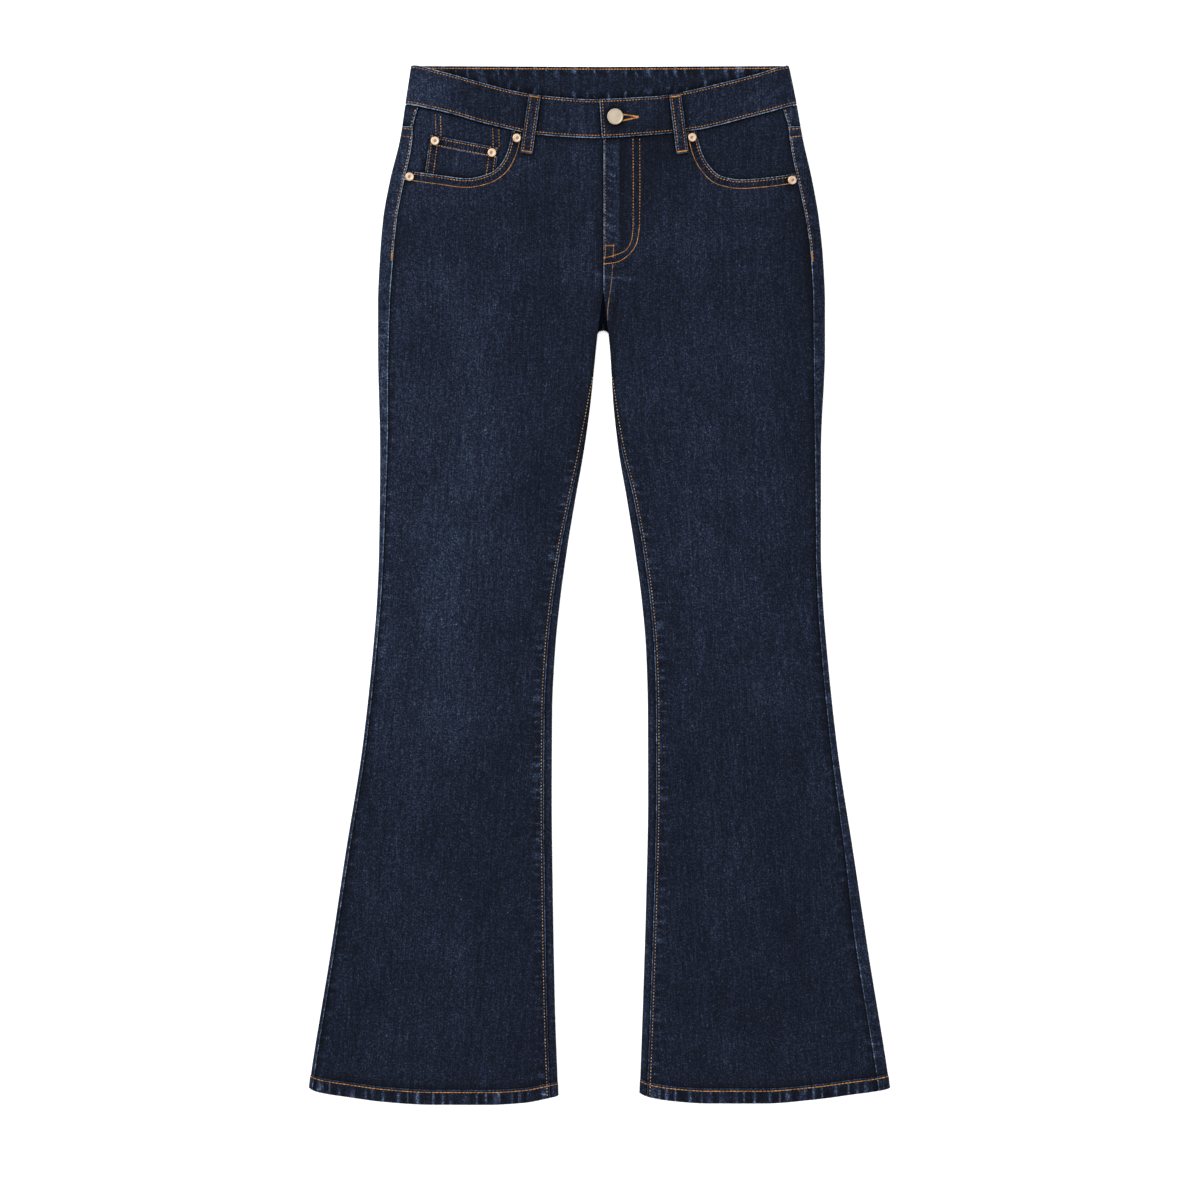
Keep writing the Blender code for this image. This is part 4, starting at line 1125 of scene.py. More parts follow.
def leg_rows(side):
    """Below the fork, rows soon run level."""
    starts = np.r_[287.0, 291.0, 295.0, 299.0, np.arange(303.0, HEM_CORNER - HEM_REACH, 3.6)]
    for inner_drop in np.r_[starts, HEM_CORNER - HEM_OVER]:
        outer_drop = inner_drop + 11.0 * float(1 - ease((inner_drop - 283.0) / 80.0))
        half = float(half_height(inner_drop))
        edge, reach = (float(side.inner(inner_drop)), inner_drop), float(INSEAM(side.name, inner_drop))
        opening = GAP * (1.9 if FOLD_LEAVES <= inner_drop and reach < 2.0 else 1.1)
        *wrap, left_over = inner_places(edge, (1.0, 0.0), reach, half, opening)
        under = under_places(side, outer_drop, (edge[0] + half, inner_drop))
        yield join(outer_places(side, outer_drop), under, wrap), left_over


# %% The back panels
BACK_POCKET_WIDTH = 138.0
BACK_POCKET_SIDE = 112.0
BACK_POCKET_POINT = 138.0
BACK_POCKET_TOP = 128.0
BACK_POCKET_MIDDLE = 112.0
BACK_POCKET_TAPER = 6.0


def pocket_half(down):
    """Half the back pocket's width at a distance below its mouth."""
    return BACK_POCKET_WIDTH / 2 - BACK_POCKET_TAPER * np.clip(down / BACK_POCKET_SIDE, 0, 1)


def past_back_pocket(across, drop):
    """How far a place on a back panel is outside its pocket."""
    down = drop - BACK_POCKET_TOP
    half = pocket_half(down)
    shift = np.abs(across - BACK_POCKET_MIDDLE)
    lowest = mix(BACK_POCKET_POINT, BACK_POCKET_SIDE, np.clip(shift / half, 0, 1))
    return np.maximum(np.maximum(shift - half, -down), down - lowest) + 0.2


def under_lift(side, across, drop):
    """Soft hollows on the underside, with painted shade in them. They only rise off the floor, so that the
    jeans lie flat on it.
    """
    soft, crease_wear_and_painted_light = relief(RIGHT if side is LEFT else LEFT, across, drop + 18.0)
    return -np.abs(soft) * 0.8, -np.abs(crease_wear_and_painted_light) * 0.4


def back_marks(side, across, drop, face, over, inside_by, from_inseam, from_outseam):
    marks = grain(side, across, drop)
    near_inner = from_inseam < 30
    inner_run, outer_run = uneven(drop / 11.5, 5.0 + side.sign), uneven(drop / 13.0, side.sign)
    marks["side"] = np.where(near_inner, np.maximum(from_inseam - 0.5, 0), from_outseam)
    marks["side_run"] = np.where(near_inner, inner_run, outer_run)
    marks["side_gain"] = np.where(near_inner, 0.15 * ease((drop - FOLD_LEAVES) / 90.0), 0.40)
    marks["end"] = np.where(over < 12.6, 3.0, 99.0)
    marks["end_run"] = uneven(across / 11.8, 3.0 + side.sign)
    marks["end_gain"] = np.where(face > 0, 0.2, 1.3)
    on_flat = np.arange(across.shape[1]) < across.shape[1] - INNER_COLUMNS
    marks |= nearest_rubbed(
        (from_outseam, 0.5 + 0.35 * (1 - ease((drop - 240) / 30))),
        (np.where(on_flat, drop - drop[0], 99.0), 0.8),
        (np.where(inside_by < 6, inside_by, 99.0) + 0.6, 0.2),
        (np.abs(over - 15.2) + 0.35, 0.6),
        (over + 0.3, 0.35),
    )
    # Painted shade beside the front's inseam edge, round the back pocket on the underside, above the hem's
    # step and beside the seat seam.
    by_seat_seam = (side is RIGHT) & (face < 0) & (drop < 270)
    marks["under"] = nearest(
        from_inseam * 2.2 + 0.1,
        np.where(face < 0, past_back_pocket(across, drop), 99.0),
        above_hem(over),
        np.where(by_seat_seam, across - side.seam + 0.3, 99.0),
    )
    # Deep in the fork the back is painted almost black: painted shade in the gap between the legs.
    fork = near_inner * (1 - ease((drop - 300) / 40.0))
    strip = np.where((face > 0) & (inside_by > 1.5), 0.035, 0.0)
    marks["tone"] = strip + broad_tone(side, across, drop) * 0.6 - 0.45 * fork
    return marks


def back_panel(side):
    rows = [*seat_rows(side), *fork_rows(side), *leg_rows(side)]
    across, level, face = (np.array([row[0][k] for row in rows]) for k in range(3))
    drop = hem_bend(side, across, level)
    present = np.ones(across.shape, bool)
    from_inseam = np.full(across.shape, 99.0)
    for i, (_, left_over) in enumerate(rows):
        present[i, -INNER_COLUMNS:] = left_over is not None
        if left_over is not None:
            from_inseam[i, -INNER_COLUMNS:] = left_over
    over = np.where(level > HEM_CORNER - HEM_REACH, HEM_CORNER - level, 99.0)
    wall, rise = wall_and_rise(over)
    inside_by, _, _ = nearest_edge(side, across, drop)
    hollow, crease_wear_and_painted_light = under_lift(side, across, drop)
    flat_under = (face < 0) * ease((inside_by - 6) / 25.0) * ease((drop - 120) / 30)
    lift = np.where(face > 0, rise, np.minimum(rise, 0)) + hollow * flat_under
    outside = skin(side, across, drop, face, -lift)
    inside = slanted_seam(side, across, drop, skin(side, across, drop, face, wall))
    from_outseam = np.where((face > 0) & (from_inseam > 90), across - side.outseam(drop), 99.0)
    marks = back_marks(side, across, drop, face, over, inside_by, from_inseam, np.abs(from_outseam))
    # The painted shade in the underside's hollows darkens its tone.
    marks["tone"] += crease_wear_and_painted_light * flat_under
    return shell(f"cloth_back_{side.name}", outside, inside, indigo_denim, marks, present, soften=0.2)


for side in SIDES:
    piece = stand_for(back_panel(side), f"back_{side.name}")
    print(piece.name, len(piece.data.polygons), "faces")


# %% The yokes, across the back under the waistband and over the side folds
YOKE_STEPS = np.array([0, 0.02, 0.06, 0.12, 0.25, 0.4, 0.55, 0.7, 0.82, 0.9, 0.95, 0.98, 1.0])[:, None]
BACK_LOOP_ACROSS = 128.0
LOOP_LENGTH = 62.0


def past_back_loop(across, middle=BACK_LOOP_ACROSS):
    """How far a place is beside a back belt loop."""
    return np.abs(across - middle) - LOOP_WIDTH / 2


def yoke(side):
    side_top, side_low = BAND_EDGE[1] + BAND_GAP, YOKE_SIDE_DROP - GAP
    wrapped, _, face = outer_places(side, side_top)
    high = np.where(face > 0, BAND_LOWER(side.name, wrapped), BAND_EDGE[1]) + BAND_GAP
    upper = under_places(side, BACK_BAND_LOW[0] + BAND_GAP, (side.seam, BACK_BAND_LOW[1] + BAND_GAP))
    lower = under_places(side, side_low, (side.seam, YOKE_BACK_DROP - GAP))
    drop = mix(np.r_[high, upper[1]], np.r_[np.full(len(face), side_low), lower[1]], YOKE_STEPS)
    across = mix(np.r_[wrapped, upper[0]], np.r_[wrapped, lower[0]], YOKE_STEPS)

    # Round the fold, each row follows the outline at its own drop.
    top, turned = slice(0, TOP_COLUMNS), slice(TOP_COLUMNS, len(face))
    half = half_height(drop)
    fold = side.outer(drop) - half
    across[:, top] = mix(side.outseam(drop[:, top]), fold[:, top], TOP_SHARES)
    across[:, turned] = fold[:, turned] + half[:, turned] * np.cos(FOLD_TURNS)
    faces = np.r_[face, upper[2]] + 0 * across
    outside = skin(side, across, drop, faces, 0.0)
    inside = skin(side, across, drop, faces, PLY)
    from_top, from_low = drop - drop[0], (1 - YOKE_STEPS) * (drop[-1] - drop[0])
    loop_gap = np.maximum(np.where(faces < 0, past_back_loop(across), 99.0), drop - LOOP_LENGTH)
    marks = grain(side, across, drop)
    marks |= {
        "end": np.minimum(from_low, from_top),
        "end_run": uneven(across / 9.0),
        "end_gain": 0.5,
        "edge": np.where(faces > 0, np.abs(across - side.outseam(drop)), 99.0),
        "worn": 0.9,
        # under: painted shade along the yoke's seams and beside the back belt loops
        "under": nearest(from_low + 0.1, from_top + 0.2, loop_gap) * np.where(faces < 0, 2.2, 1.3),
        "tone": np.where(faces > 0, 0.04, 0.0),
    }
    return shell(f"cloth_yoke_{side.name}", outside, inside, indigo_denim, marks, soften=0.25)


for side in SIDES:
    stand_for(yoke(side), f"yoke_{side.name}")

# %% [markdown]
# ## Waistband
# The waistband is one strip, folded lengthwise. It starts at the overlap with the buttonhole, runs
# round the wearer's left, across the back, where its inside shows above the front, and round the
# right to the underlap that carries the button.

# %% The waistband's strip
BAND_LEVELS = (BAND_FLOOR, BAND_TOP, 0.0)
BAND_HALF = (BAND_TOP - BAND_FLOOR) / 2
BAND_WIDTH = 40.0
BY_EDGE = np.array([0, 0.008, 0.025, 0.05, 0.066, 0.09])
BAND_SHARES = np.r_[BY_EDGE, np.linspace(0.14, 0.86, 11), 1 - BY_EDGE[::-1]]


def overlap_lift(side, across):
    if side is RIGHT:
        return np.zeros(np.shape(across))
    return OVERLAP_LIFT * (1 - ease((across - OVERLAP_FLAT) / (OVERLAP_FADE - OVERLAP_FLAT)))


def band_waves(across, drop, face):
    """A stitched band ripples a little between its two rows of stitches."""
    slow = 0.16 * np.sin(across / 7.3 + 0.6 * np.sin(across / 19.0))
    return (slow + 0.10 * np.sin(across / 3.1 + drop / 9)) * (face > 0)


def back_band_drop(along, share):
    """A drop on the back of the band: along runs from the side fold in, and share from top to low."""
    return mix(mix(*BACK_BAND_TOP, along), mix(*BACK_BAND_LOW, along), share)


def band_strip(side):
    share = BAND_SHARES[:, None]
    edge_drop = mix(*BAND_EDGE, share)
    edge = side.outer(edge_drop)
    end = mix(*OVERLAP_END, share) if side is LEFT else UNDERLAP_END + 0 * share
    fold = edge - BAND_HALF
    along = np.r_[0, 0.002, 0.006, 0.014, np.linspace(0.024, 1, 80)]
    front = mix(end, fold, along)
    front_drop = mix(BAND_UPPER(side.name, front), BAND_LOWER(side.name, front), share)
    turned = fold + BAND_HALF * np.cos(FOLD_TURNS)
    along_back = np.linspace(0, 1, 60)
    back = mix(fold, side.sign * MIDDLE_SEAM, along_back)
    across = np.hstack([front, turned, back])
    drop = np.hstack([front_drop, edge_drop + 0 * turned, back_band_drop(along_back, share)])
    ones = np.ones_like
    face = np.hstack([ones(front), np.where(FOLD_TURNS >= 0, 1, -1) * ones(turned), -ones(back)])
    return across, drop, face, np.hstack([overlap_lift(side, front), 0 * turned, 0 * back])


BAND_STREAKS = (
    # side, across and drop of both ends, half width, how much paler
    ("right", 160, 25, 148, 20, 1.8, 0.07),
    ("right", 133, 38, 118, 31.5, 2, 0.08),
    ("right", 186, 30, 170, 22, 2.4, 0.05),
    ("right", 100, 50, 90, 42, 2, 0.06),
    ("right", 48, 56, 30, 62, 2.4, 0.05),
    ("right", 22, 44, 12, 56, 2, 0.05),
    ("left", 92, 52, 103, 45, 1.8, 0.08),
    ("left", 102, 56, 114, 46, 1.8, 0.08),
    ("left", 30, 41, 36, 48, 1.8, 0.06),
    ("left", 52, 46, 58, 62, 2.4, 0.05),
    ("left", 150, 40, 170, 28, 2.4, 0.06),
    ("left", 176, 36, 194, 22, 2.2, 0.06),
    ("left", 124, 40, 132, 30, 1.8, 0.06),
)


def band_streaks(side, across, drop):
    tone = 0.0 * across
    for name, across0, drop0, across1, drop1, width, paler in BAND_STREAKS:
        if name == side.name:
            away, _ = near_line(across, drop, across0, drop0, across1, drop1)
            tone += paler * np.exp(-((away / width) ** 2))
    return tone


BUTTON_PLACE = (16.7, 55.0)
BUTTON_SHADE = 8.6  # radius of the cloth that the button covers and shades


def band_marks(side, across, drop, face, from_edge):
    """The marks of the band's outside, and those of its inside."""
    on_front = face > 0
    end = mix(*OVERLAP_END, BAND_SHARES[:, None])
    if side is LEFT:
        end_gap, lap_gap = across - end, 99.0
        button_gap = np.hypot(across - BUTTON_PLACE[0], drop - BUTTON_PLACE[1]) - BUTTON_SHADE
    else:
        end_gap, lap_gap, button_gap = 99.0, end + across, 99.0
    front_tone = band_streaks(side, across, drop) + broad_tone(side, across, drop)
    front_gap = nearest(past_loop(side, across, drop), button_gap, lap_gap)
    back_gap = nearest(past_back_loop(across), past_back_loop(side.sign * across, MIDDLE_SEAM))
    marks = {
        "weft": side.sign * across,
        "warp": drop,
        "end": from_edge,
        "end_run": uneven(side.sign * across / 10.0 + face * 50),
        "end_gain": np.where(on_front, 0.30, 0.45),
        "side": np.where(on_front, 99.0, 0.0),
        "tone": np.where(on_front, front_tone, -0.01),
        # under: painted shade round the belt loops and the button, and by the overlap
        "under": np.where(on_front, front_gap, back_gap),
    }
    marks |= nearest_rubbed((from_edge, 0.95), (np.where(on_front, end_gap, 99.0), 1.0))

    # The inside of the back: ridges hang from its top stitches, and the front's edge shades it.
    behind = BAND_UPPER(side.name, across) - drop
    lining = {
        "under": np.where(on_front, 99.0, np.maximum(behind - 0.2, 0)),
        "worn": np.where(on_front, 0.3, 0.0),
        "end": np.where(on_front, 99.0, np.minimum(drop * 0.95, np.maximum(behind, 0) + 3.0)),
        "end_run": uneven(side.sign * across / 13.6 + 0.15 * np.sin(drop / 4.0), 1.0),
        "end_gain": 1.5,
    }
    return marks, marks | lining


def band_half(side):
    """One side of the strip: its outside, its inside and the marks of both."""
    across, drop, face, lift = band_strip(side)
    inside_by, _, _ = nearest_edge(side, across, drop)
    from_edge = np.minimum(BAND_SHARES, 1 - BAND_SHARES)[:, None] * BAND_WIDTH + 0 * across
    groove = 0.28 * np.exp(-(((from_edge - 2.64) / 0.6) ** 2))
    roll = 0.7 * (1 - ease(from_edge / 1.1))
    waves = band_waves(side.sign * across, drop, face) * ease((inside_by - 5) / 12)
    gone = (groove + roll) * np.where(face > 0, 1.0, 0.6)
    outside = skin(side, across, drop, face, gone - lift - waves, BAND_LEVELS)
    inside = skin(side, across, drop, face, BAND_WALL - gone * 0.8 - lift, BAND_LEVELS)
    # The strip runs out along the left side and comes back along the right one.
    order = slice(None) if side is LEFT else slice(-2, None, -1)
    marks = band_marks(side, across, drop, face, from_edge)
    marks = [{key: (value + 0 * across)[:, order] for key, value in one.items()} for one in marks]
    return outside[:, order], inside[:, order], *marks


def joined(halves):
    return {key: np.hstack([half[key] for half in halves]) for key in halves[0]}


def waistband():
    outside, inside, marks, lining = zip(band_half(LEFT), band_half(RIGHT))
    outside, inside = np.hstack(outside), np.hstack(inside)
    marks, lining = joined(marks), joined(lining)
    return shell("cloth_waistband", outside, inside, indigo_denim, marks, soften=0.3, lining=lining)


stand_for(waistband(), "waistband")
print("Waistband strip made")

# %% [markdown]
# ## Pockets and fly
# The denim that shows in each pocket mouth is the top of the pocket's inner wall. On the wearer's
# right it carries the coin pocket, tilted with the mouth. Behind the fly's edge lie the shield, the
# zip's tape and its slider, which nobody sees, so they stay plain.

# %% Sheets that lie under or on a front
BAG_INNER_ACROSS = 84.0
BAG_END = 232.0
COIN_WIDTH = 73.0
COIN_DEPTH = 84.0
COIN_PUFF = 0.12
COIN_TILT = 11.0
COIN_CORNER = (177.4, 73.0)


def past_coin_pocket(across, drop):
    """How far a place on the pocket's wall is outside the coin pocket."""
    tilt = math.radians(COIN_TILT)
    right, down = COIN_CORNER[0] - across, drop - COIN_CORNER[1]
    along = right * math.cos(tilt) + down * math.sin(tilt)
    low = -right * math.sin(tilt) + down * math.cos(tilt)
    return np.maximum(np.maximum(-along, along - COIN_WIDTH), -low)


def pocket_wall(side):
    depth = POCKET_LEVEL * (2 if side is RIGHT else 1)
    shares = np.linspace(0, 1, 40)
    drops = np.r_[80.0, np.arange(84.0, BAG_END, 4.0), BAG_END][:, None]
    top = mix(BAG_INNER_ACROSS, side.outseam(46.0) + 2.0, shares)
    bag = mix(BAG_INNER_ACROSS, side.outseam(drops) + 2.0, shares)
    steps = np.linspace(0, 1, 9)[:-1, None]
    across = np.concatenate([mix(top, bag[0], steps), bag])
    top_drop = BAND_LOWER(side.name, top) + BAND_GAP
    drop = np.concatenate([mix(top_drop, drops[0], steps), drops + 0 * shares])
    outside = skin(side, across, drop, 1, depth)
    inside = skin(side, across, drop, 1, depth + BAG_PLY)
    lip, _ = mouth_distance(side, across, drop)
    gap = nearest(
        lip - 0.2,
        drop - BAND_LOWER(side.name, across) - BAND_GAP + 0.2,
        side.outseam(drop) - across,
        past_rivets(side, across, drop),
        past_loop(side, across, drop),
        past_coin_pocket(across, drop) if side is RIGHT else 99.0,
    )
    marks = grain(side, across, drop)
    # The wall is painted darker near the mouth, the band, the outseam, the rivets, the loop and the coin
    # pocket, as their painted shade.
    marks["under"] = gap * (2.2 if side is RIGHT else 1.4)
    marks["tone"] = 0.005 * np.sin(across / 17.0 + drop / 23.0)
    if side is RIGHT:
        marks["tone"] += 0.03 + 0.06 * ease((across - 156) / 12.0)
    return shell(f"cloth_front_pocket_{side.name}", outside, inside, pocket_denim, marks, soften=0.2)


for side in SIDES:
    stand_for(pocket_wall(side), f"front_pocket_{side.name}", slot="pocket_denim")


def coin_place(along, down):
    """A place on the coin pocket, from its upper outer corner."""
    tilt = math.radians(COIN_TILT)
    across = COIN_CORNER[0] - along * math.cos(tilt) + down * math.sin(tilt) * 0.7
    return across, COIN_CORNER[1] + along * math.sin(tilt) + down * math.cos(tilt)


def coin_pocket():
    along = np.array([0, 0.4, 1.2, 2.4, 3.6, 5, *np.linspace(8, 65, 22), 68, 69.4, 70.6, 71.8, 72.6, 73.0])
    down = np.array([0, 0.4, 1.2, 2.4, 3.4, 5, 7, 8.4, 9.4, 10.4, *np.linspace(13, COIN_DEPTH, 26)])[:, None]
    across, drop = coin_place(along, down)
    edge = np.minimum(np.minimum(along, COIN_WIDTH - along), down)
    outside = skin(RIGHT, across, drop, 1, POCKET_LEVEL - COIN_PUFF * ease(edge / 3.0))
    inside = skin(RIGHT, across, drop, 1, POCKET_LEVEL + PLY)
    lip, _ = mouth_distance(RIGHT, across, drop)
    marks = grain(RIGHT, across, drop)
    marks |= {
        "edge": np.minimum(edge, np.abs(down - 10.6) + 0.3),
        "worn": 0.8,
        "end": np.abs(down - 6) * 2.2,
        "end_run": uneven(along / 3.4),
        "end_gain": 0.9,
        "side": np.minimum(np.abs(along - 5.6), np.abs(along - 67.4)) * 2.6,
        "side_run": uneven(down / 3.2),
        "side_gain": 0.9,
        # under: painted shade under the mouth's lip and round the rivets
        "under": nearest(lip - 0.2, past_rivets(RIGHT, across, drop)),
    }
    return shell("cloth_coin_pocket", outside, inside, indigo_denim, marks, soften=0.3)


stand_for(coin_pocket(), "coin_pocket")


FLY_SHIELD = (-2.0, 46.0), (82.0, 206.0)  # from and to, across and down
ZIP_TAPE = (13.2, 32.0), (100.0, 188.0)


def fly_sheet(name, node_name, across, down, depth, thickness, material, slot):
    across, drop = np.meshgrid(np.linspace(*across, 14), np.linspace(*down, 30))
    outside, inside = (skin(LEFT, across, drop, 1, depth + more) for more in (0.0, thickness))
    piece = shell(name, outside, inside, material, grain(LEFT, across, drop))
    return stand_for(piece, node_name, slot=slot)


fly_sheet("cloth_fly_shield", "fly_shield", *FLY_SHIELD, POCKET_LEVEL, BAG_PLY, indigo_denim, "denim")
fly_sheet("cloth_zip_tape", "fly_zip", *ZIP_TAPE, 0.0, PLY, pocket_denim, "zip_tape")

# %% [markdown]
# ## Belt loops and back pockets
# A belt loop is a narrow strip with both edges folded under and two rows of stitches. Its ends are
# turned under and tacked. The back pockets are plain patches with a pointed lower edge.

# %% Belt loops
LOOP_PLY = 1.8
LOOP_ARCH = 0.8
LOOP_STITCH = 3.7
LOOP_SHIFTS = np.array([-6.25, -6.0, -5.3, -4.4, -3.7, -3.0, -1.5, 0, 1.5, 3.0, 3.7, 4.4, 5.3, 6.0, 6.25])
LOOP_SHARES = np.r_[0, 0.006, 0.02, 0.04, np.linspace(0.06, 0.94, 30), 0.96, 0.98, 0.994, 1][:, None]
BACK_LOOPS = {"right": -BACK_LOOP_ACROSS, "left": BACK_LOOP_ACROSS, "middle": MIDDLE_SEAM}


def loop_place(side, share, shift):
    """A place on a front loop and the height of its underside there, in millimetres."""
    top_across, top_drop, run_across, run_drop, length = loop_axis(side)
    across = top_across + run_across * length * share + run_drop * shift
    drop = top_drop + run_drop * length * share - run_across * shift
    low = HEIGHTS("top", drop) - HEIGHTS("sag", drop) + GAP
    high = BAND_TOP + GAP + overlap_lift(side, across)
    base = mix(high, low, ease((share - 0.74) / 0.2)) + LOOP_ARCH * np.sin(np.pi * share) ** 2
    return across, drop, base


def loop_marks():
    side_by = LOOP_WIDTH / 2 - np.abs(LOOP_SHIFTS)
    end_by = np.minimum(LOOP_SHARES, 1 - LOOP_SHARES) * LOOP_LENGTH
    return {
        "weft": LOOP_SHIFTS,
        "warp": LOOP_SHARES * LOOP_LENGTH,
        "edge": np.minimum(side_by, end_by),
        "worn": 0.6,
        "side": side_by,
        "side_run": uneven(LOOP_SHARES * LOOP_LENGTH / 3.6),
        "side_gain": 0.25,
        "tone": 0.01,
    }


def front_loop(side):
    across, drop, base = loop_place(side, LOOP_SHARES, LOOP_SHIFTS)
    ridge = 0.25 * np.exp(-(((np.abs(LOOP_SHIFTS) - 5.2) / 0.8) ** 2))
    groove = 0.2 * np.exp(-(((np.abs(LOOP_SHIFTS) - LOOP_STITCH) / 0.5) ** 2))
    outside = side.point(across, drop, base + LOOP_PLY + (ridge - groove))
    inside = side.point(across, drop, base + 0.2)
    return shell(f"cloth_belt_loop_front_{side.name}", outside, inside, indigo_denim, loop_marks())


def back_loop(name, middle):
    y = LENGTH / 2 - mix(1.1, LOOP_LENGTH, LOOP_SHARES)
    marks = loop_marks()
    low = 0.35 * (1 - ease(marks["edge"] / 0.8))
    walls = (np.stack(np.broadcast_arrays(middle + LOOP_SHIFTS, y, z), -1) for z in (low, 1.1 + 0 * low))
    return shell(f"cloth_belt_loop_back_{name}", *walls, indigo_denim, marks)


for side in SIDES:
    stand_for(front_loop(side), f"belt_loop_front_{side.name}")
for name, middle in BACK_LOOPS.items():
    stand_for(back_loop(name, middle), f"belt_loop_back_{name}")

# %% Back pockets
POCKET_STITCH = 2.2
POCKET_EDGE = np.array([0, 0.005, 0.015, 0.03, 0.055, 0.09])
POCKET_SHIFTS = np.r_[POCKET_EDGE - 1, np.linspace(-0.87, 0.87, 41), 1 - POCKET_EDGE[::-1]]
POCKET_SHARES = np.r_[0, 0.003, 0.01, 0.02, 0.04, np.linspace(0.07, 0.93, 34), 0.96, 0.98, 0.99, 0.997, 1]


def pocket_place(share, shift):
    """A place on a back pocket, and how far it is inside the pocket's edge. shift runs from -1 to 1."""
    lowest = mix(BACK_POCKET_POINT, BACK_POCKET_SIDE, np.abs(shift))
    down = share * lowest
    half = pocket_half(down)
    edge = np.minimum(np.minimum(half * (1 - np.abs(shift)), lowest - down), down)
    return BACK_POCKET_MIDDLE + half * shift, BACK_POCKET_TOP + down, edge


def back_pocket(side):
    across, drop, edge = pocket_place(POCKET_SHARES[:, None], POCKET_SHIFTS)
    rolled = 0.35 * (1 - ease(edge / 0.9))
    groove = 0.12 * np.exp(-(((edge - POCKET_STITCH) / 0.6) ** 2))
    marks = grain(side, across, drop) | {"edge": edge, "worn": 0.75}
    marks |= {"end": edge * 1.2, "end_run": uneven((across + drop) / 6.0), "end_gain": 0.6}
    walls = (side.point(across, drop, height) for height in (rolled + groove, PLY))
    return shell(f"cloth_back_pocket_{side.name}", *walls, indigo_denim, marks)


for side in SIDES:
    stand_for(back_pocket(side), f"back_pocket_{side.name}")
print(len(MADE), "sheets of cloth so far")

# %% [markdown]
# ## Sewing
# Topstitching is thousands of short stitches at one spacing, so Geometry Nodes place them: each line
# of sewing is a curve, the curve is cut into equal lengths, and one small thread lump goes on every
# point, turned along the line. A bar tack is the same with its thread laid across the line.


# %% The tree that sews a line
SEWING_INPUTS = {
    "Geometry": "NodeSocketGeometry",
    "Spacing": "NodeSocketFloat",
    "Along": "NodeSocketFloat",
    "Across": "NodeSocketFloat",
    "Height": "NodeSocketFloat",
    "Thread": "NodeSocketMaterial",
}


def sewing_tree():
    tree = bpy.data.node_groups.new("sewn_line", "GeometryNodeTree")
    for name, kind in SEWING_INPUTS.items():
        tree.interface.new_socket(name, in_out="INPUT", socket_type=kind)
    tree.interface.new_socket("Geometry", in_out="OUTPUT", socket_type="NodeSocketGeometry")
    add = functools.partial(node, tree)
    given = add("NodeGroupInput").outputs
    links = {"Curve": given["Geometry"], "Length": given["Spacing"]}
    spaced = add("GeometryNodeResampleCurve", links, mode="LENGTH")
    lump = add("GeometryNodeMeshUVSphere", {"Segments": 8, "Rings": 4, "Radius": 0.5})
    smooth = add("GeometryNodeSetShadeSmooth", {"Geometry": lump})
    tangent = add("GeometryNodeInputTangent")
    turned = add("FunctionNodeAlignRotationToVector", {"Vector": tangent}, axis="X")
    size = add("ShaderNodeCombineXYZ", {0: given["Along"], 1: given["Across"], 2: given["Height"]})
    varied = add("FunctionNodeRandomValue", {"Seed": 7, 2: 0.88, 3: 1.1}, data_type="FLOAT")
    size = add("ShaderNodeVectorMath", {0: size, "Scale": varied.outputs[1]}, operation="SCALE")
    links = {"Points": spaced, "Instance": smooth, "Rotation": turned, "Scale": size}
    placed = add("GeometryNodeInstanceOnPoints", links)
    real = add("GeometryNodeRealizeInstances", {"Geometry": placed})
    painted = add("GeometryNodeSetMaterial", {"Geometry": real, "Material": given["Thread"]})
    add("NodeGroupOutput", {"Geometry": painted})
    return tree


SEWING = sewing_tree()
THREAD_STANDS = 0.05  # mm: how far the middle of the thread stands over the cloth


def sew(name, lines, thread, spacing=3.1, along=2.75, across=0.85, height=0.7):
    """Sews lines of points in millimetres, as one mesh of plain thread."""
    curve = bpy.data.curves.new(name, "CURVE")
    curve.dimensions = "3D"
    for line in lines:
        spline = curve.splines.new("POLY")
        spline.points.add(len(line) - 1)
        flat = np.concatenate([np.asarray(line) * MM, np.ones((len(line), 1))], 1)
        spline.points.foreach_set("co", flat.reshape(-1))
    guide = place_object(name + "_guide", curve)
    modifier = guide.modifiers.new("sewing", "NODES")
    modifier.node_group = SEWING
    sizes = {"Spacing": spacing, "Along": along, "Across": across, "Height": height}
    values = {"Thread": thread} | {key: value * MM for key, value in sizes.items()}
    for item in SEWING.interface.items_tree:
        if item.item_type == "SOCKET" and item.in_out == "INPUT" and item.name in values:
            modifier[item.identifier] = values[item.name]
    graph = bpy.context.evaluated_depsgraph_get()
    mesh = bpy.data.meshes.new_from_object(guide.evaluated_get(graph), depsgraph=graph)
    mesh.name = name
    guide.modifiers.remove(modifier)
    bpy.data.objects.remove(guide, do_unlink=True)
    if not mesh.materials:
        mesh.materials.append(thread)
    piece = place_object(name, mesh)
    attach(piece, "root")
    print(name, len(mesh.polygons), "faces of thread")
    return piece


# %% Lines of places become lines of points on the cloth
def dense(places, step=1.2):
    """A smooth line through a few places, with a point about every step millimetres."""
    places = np.asarray(places, float)
    lengths = np.concatenate([[0], np.cumsum(np.hypot(*np.diff(places, axis=0).T))])
    rows = [(length, *place) for length, place in zip(lengths, places)]
    chart = Chart("length first second", *rows)
    along = np.linspace(0, lengths[-1], max(int(lengths[-1] / step), 2) + 1)
    return chart("first", along), chart("second", along)


def on_front(side, places, step=1.2):
    across, drop = dense(places, step)
    return skin(side, across, drop, 1, -(front_lift(side, across, drop) + THREAD_STANDS))


def on_back_strip(side, places, face=1):
    across, drop = dense(places)
    return skin(side, across, drop, face, -THREAD_STANDS)


def on_band(side, places, face=1):
    across, drop = dense(places)
    lift = overlap_lift(side, across) if face > 0 else 0.0
    return skin(side, across, drop, face, -lift - THREAD_STANDS + 0.12, BAND_LEVELS)


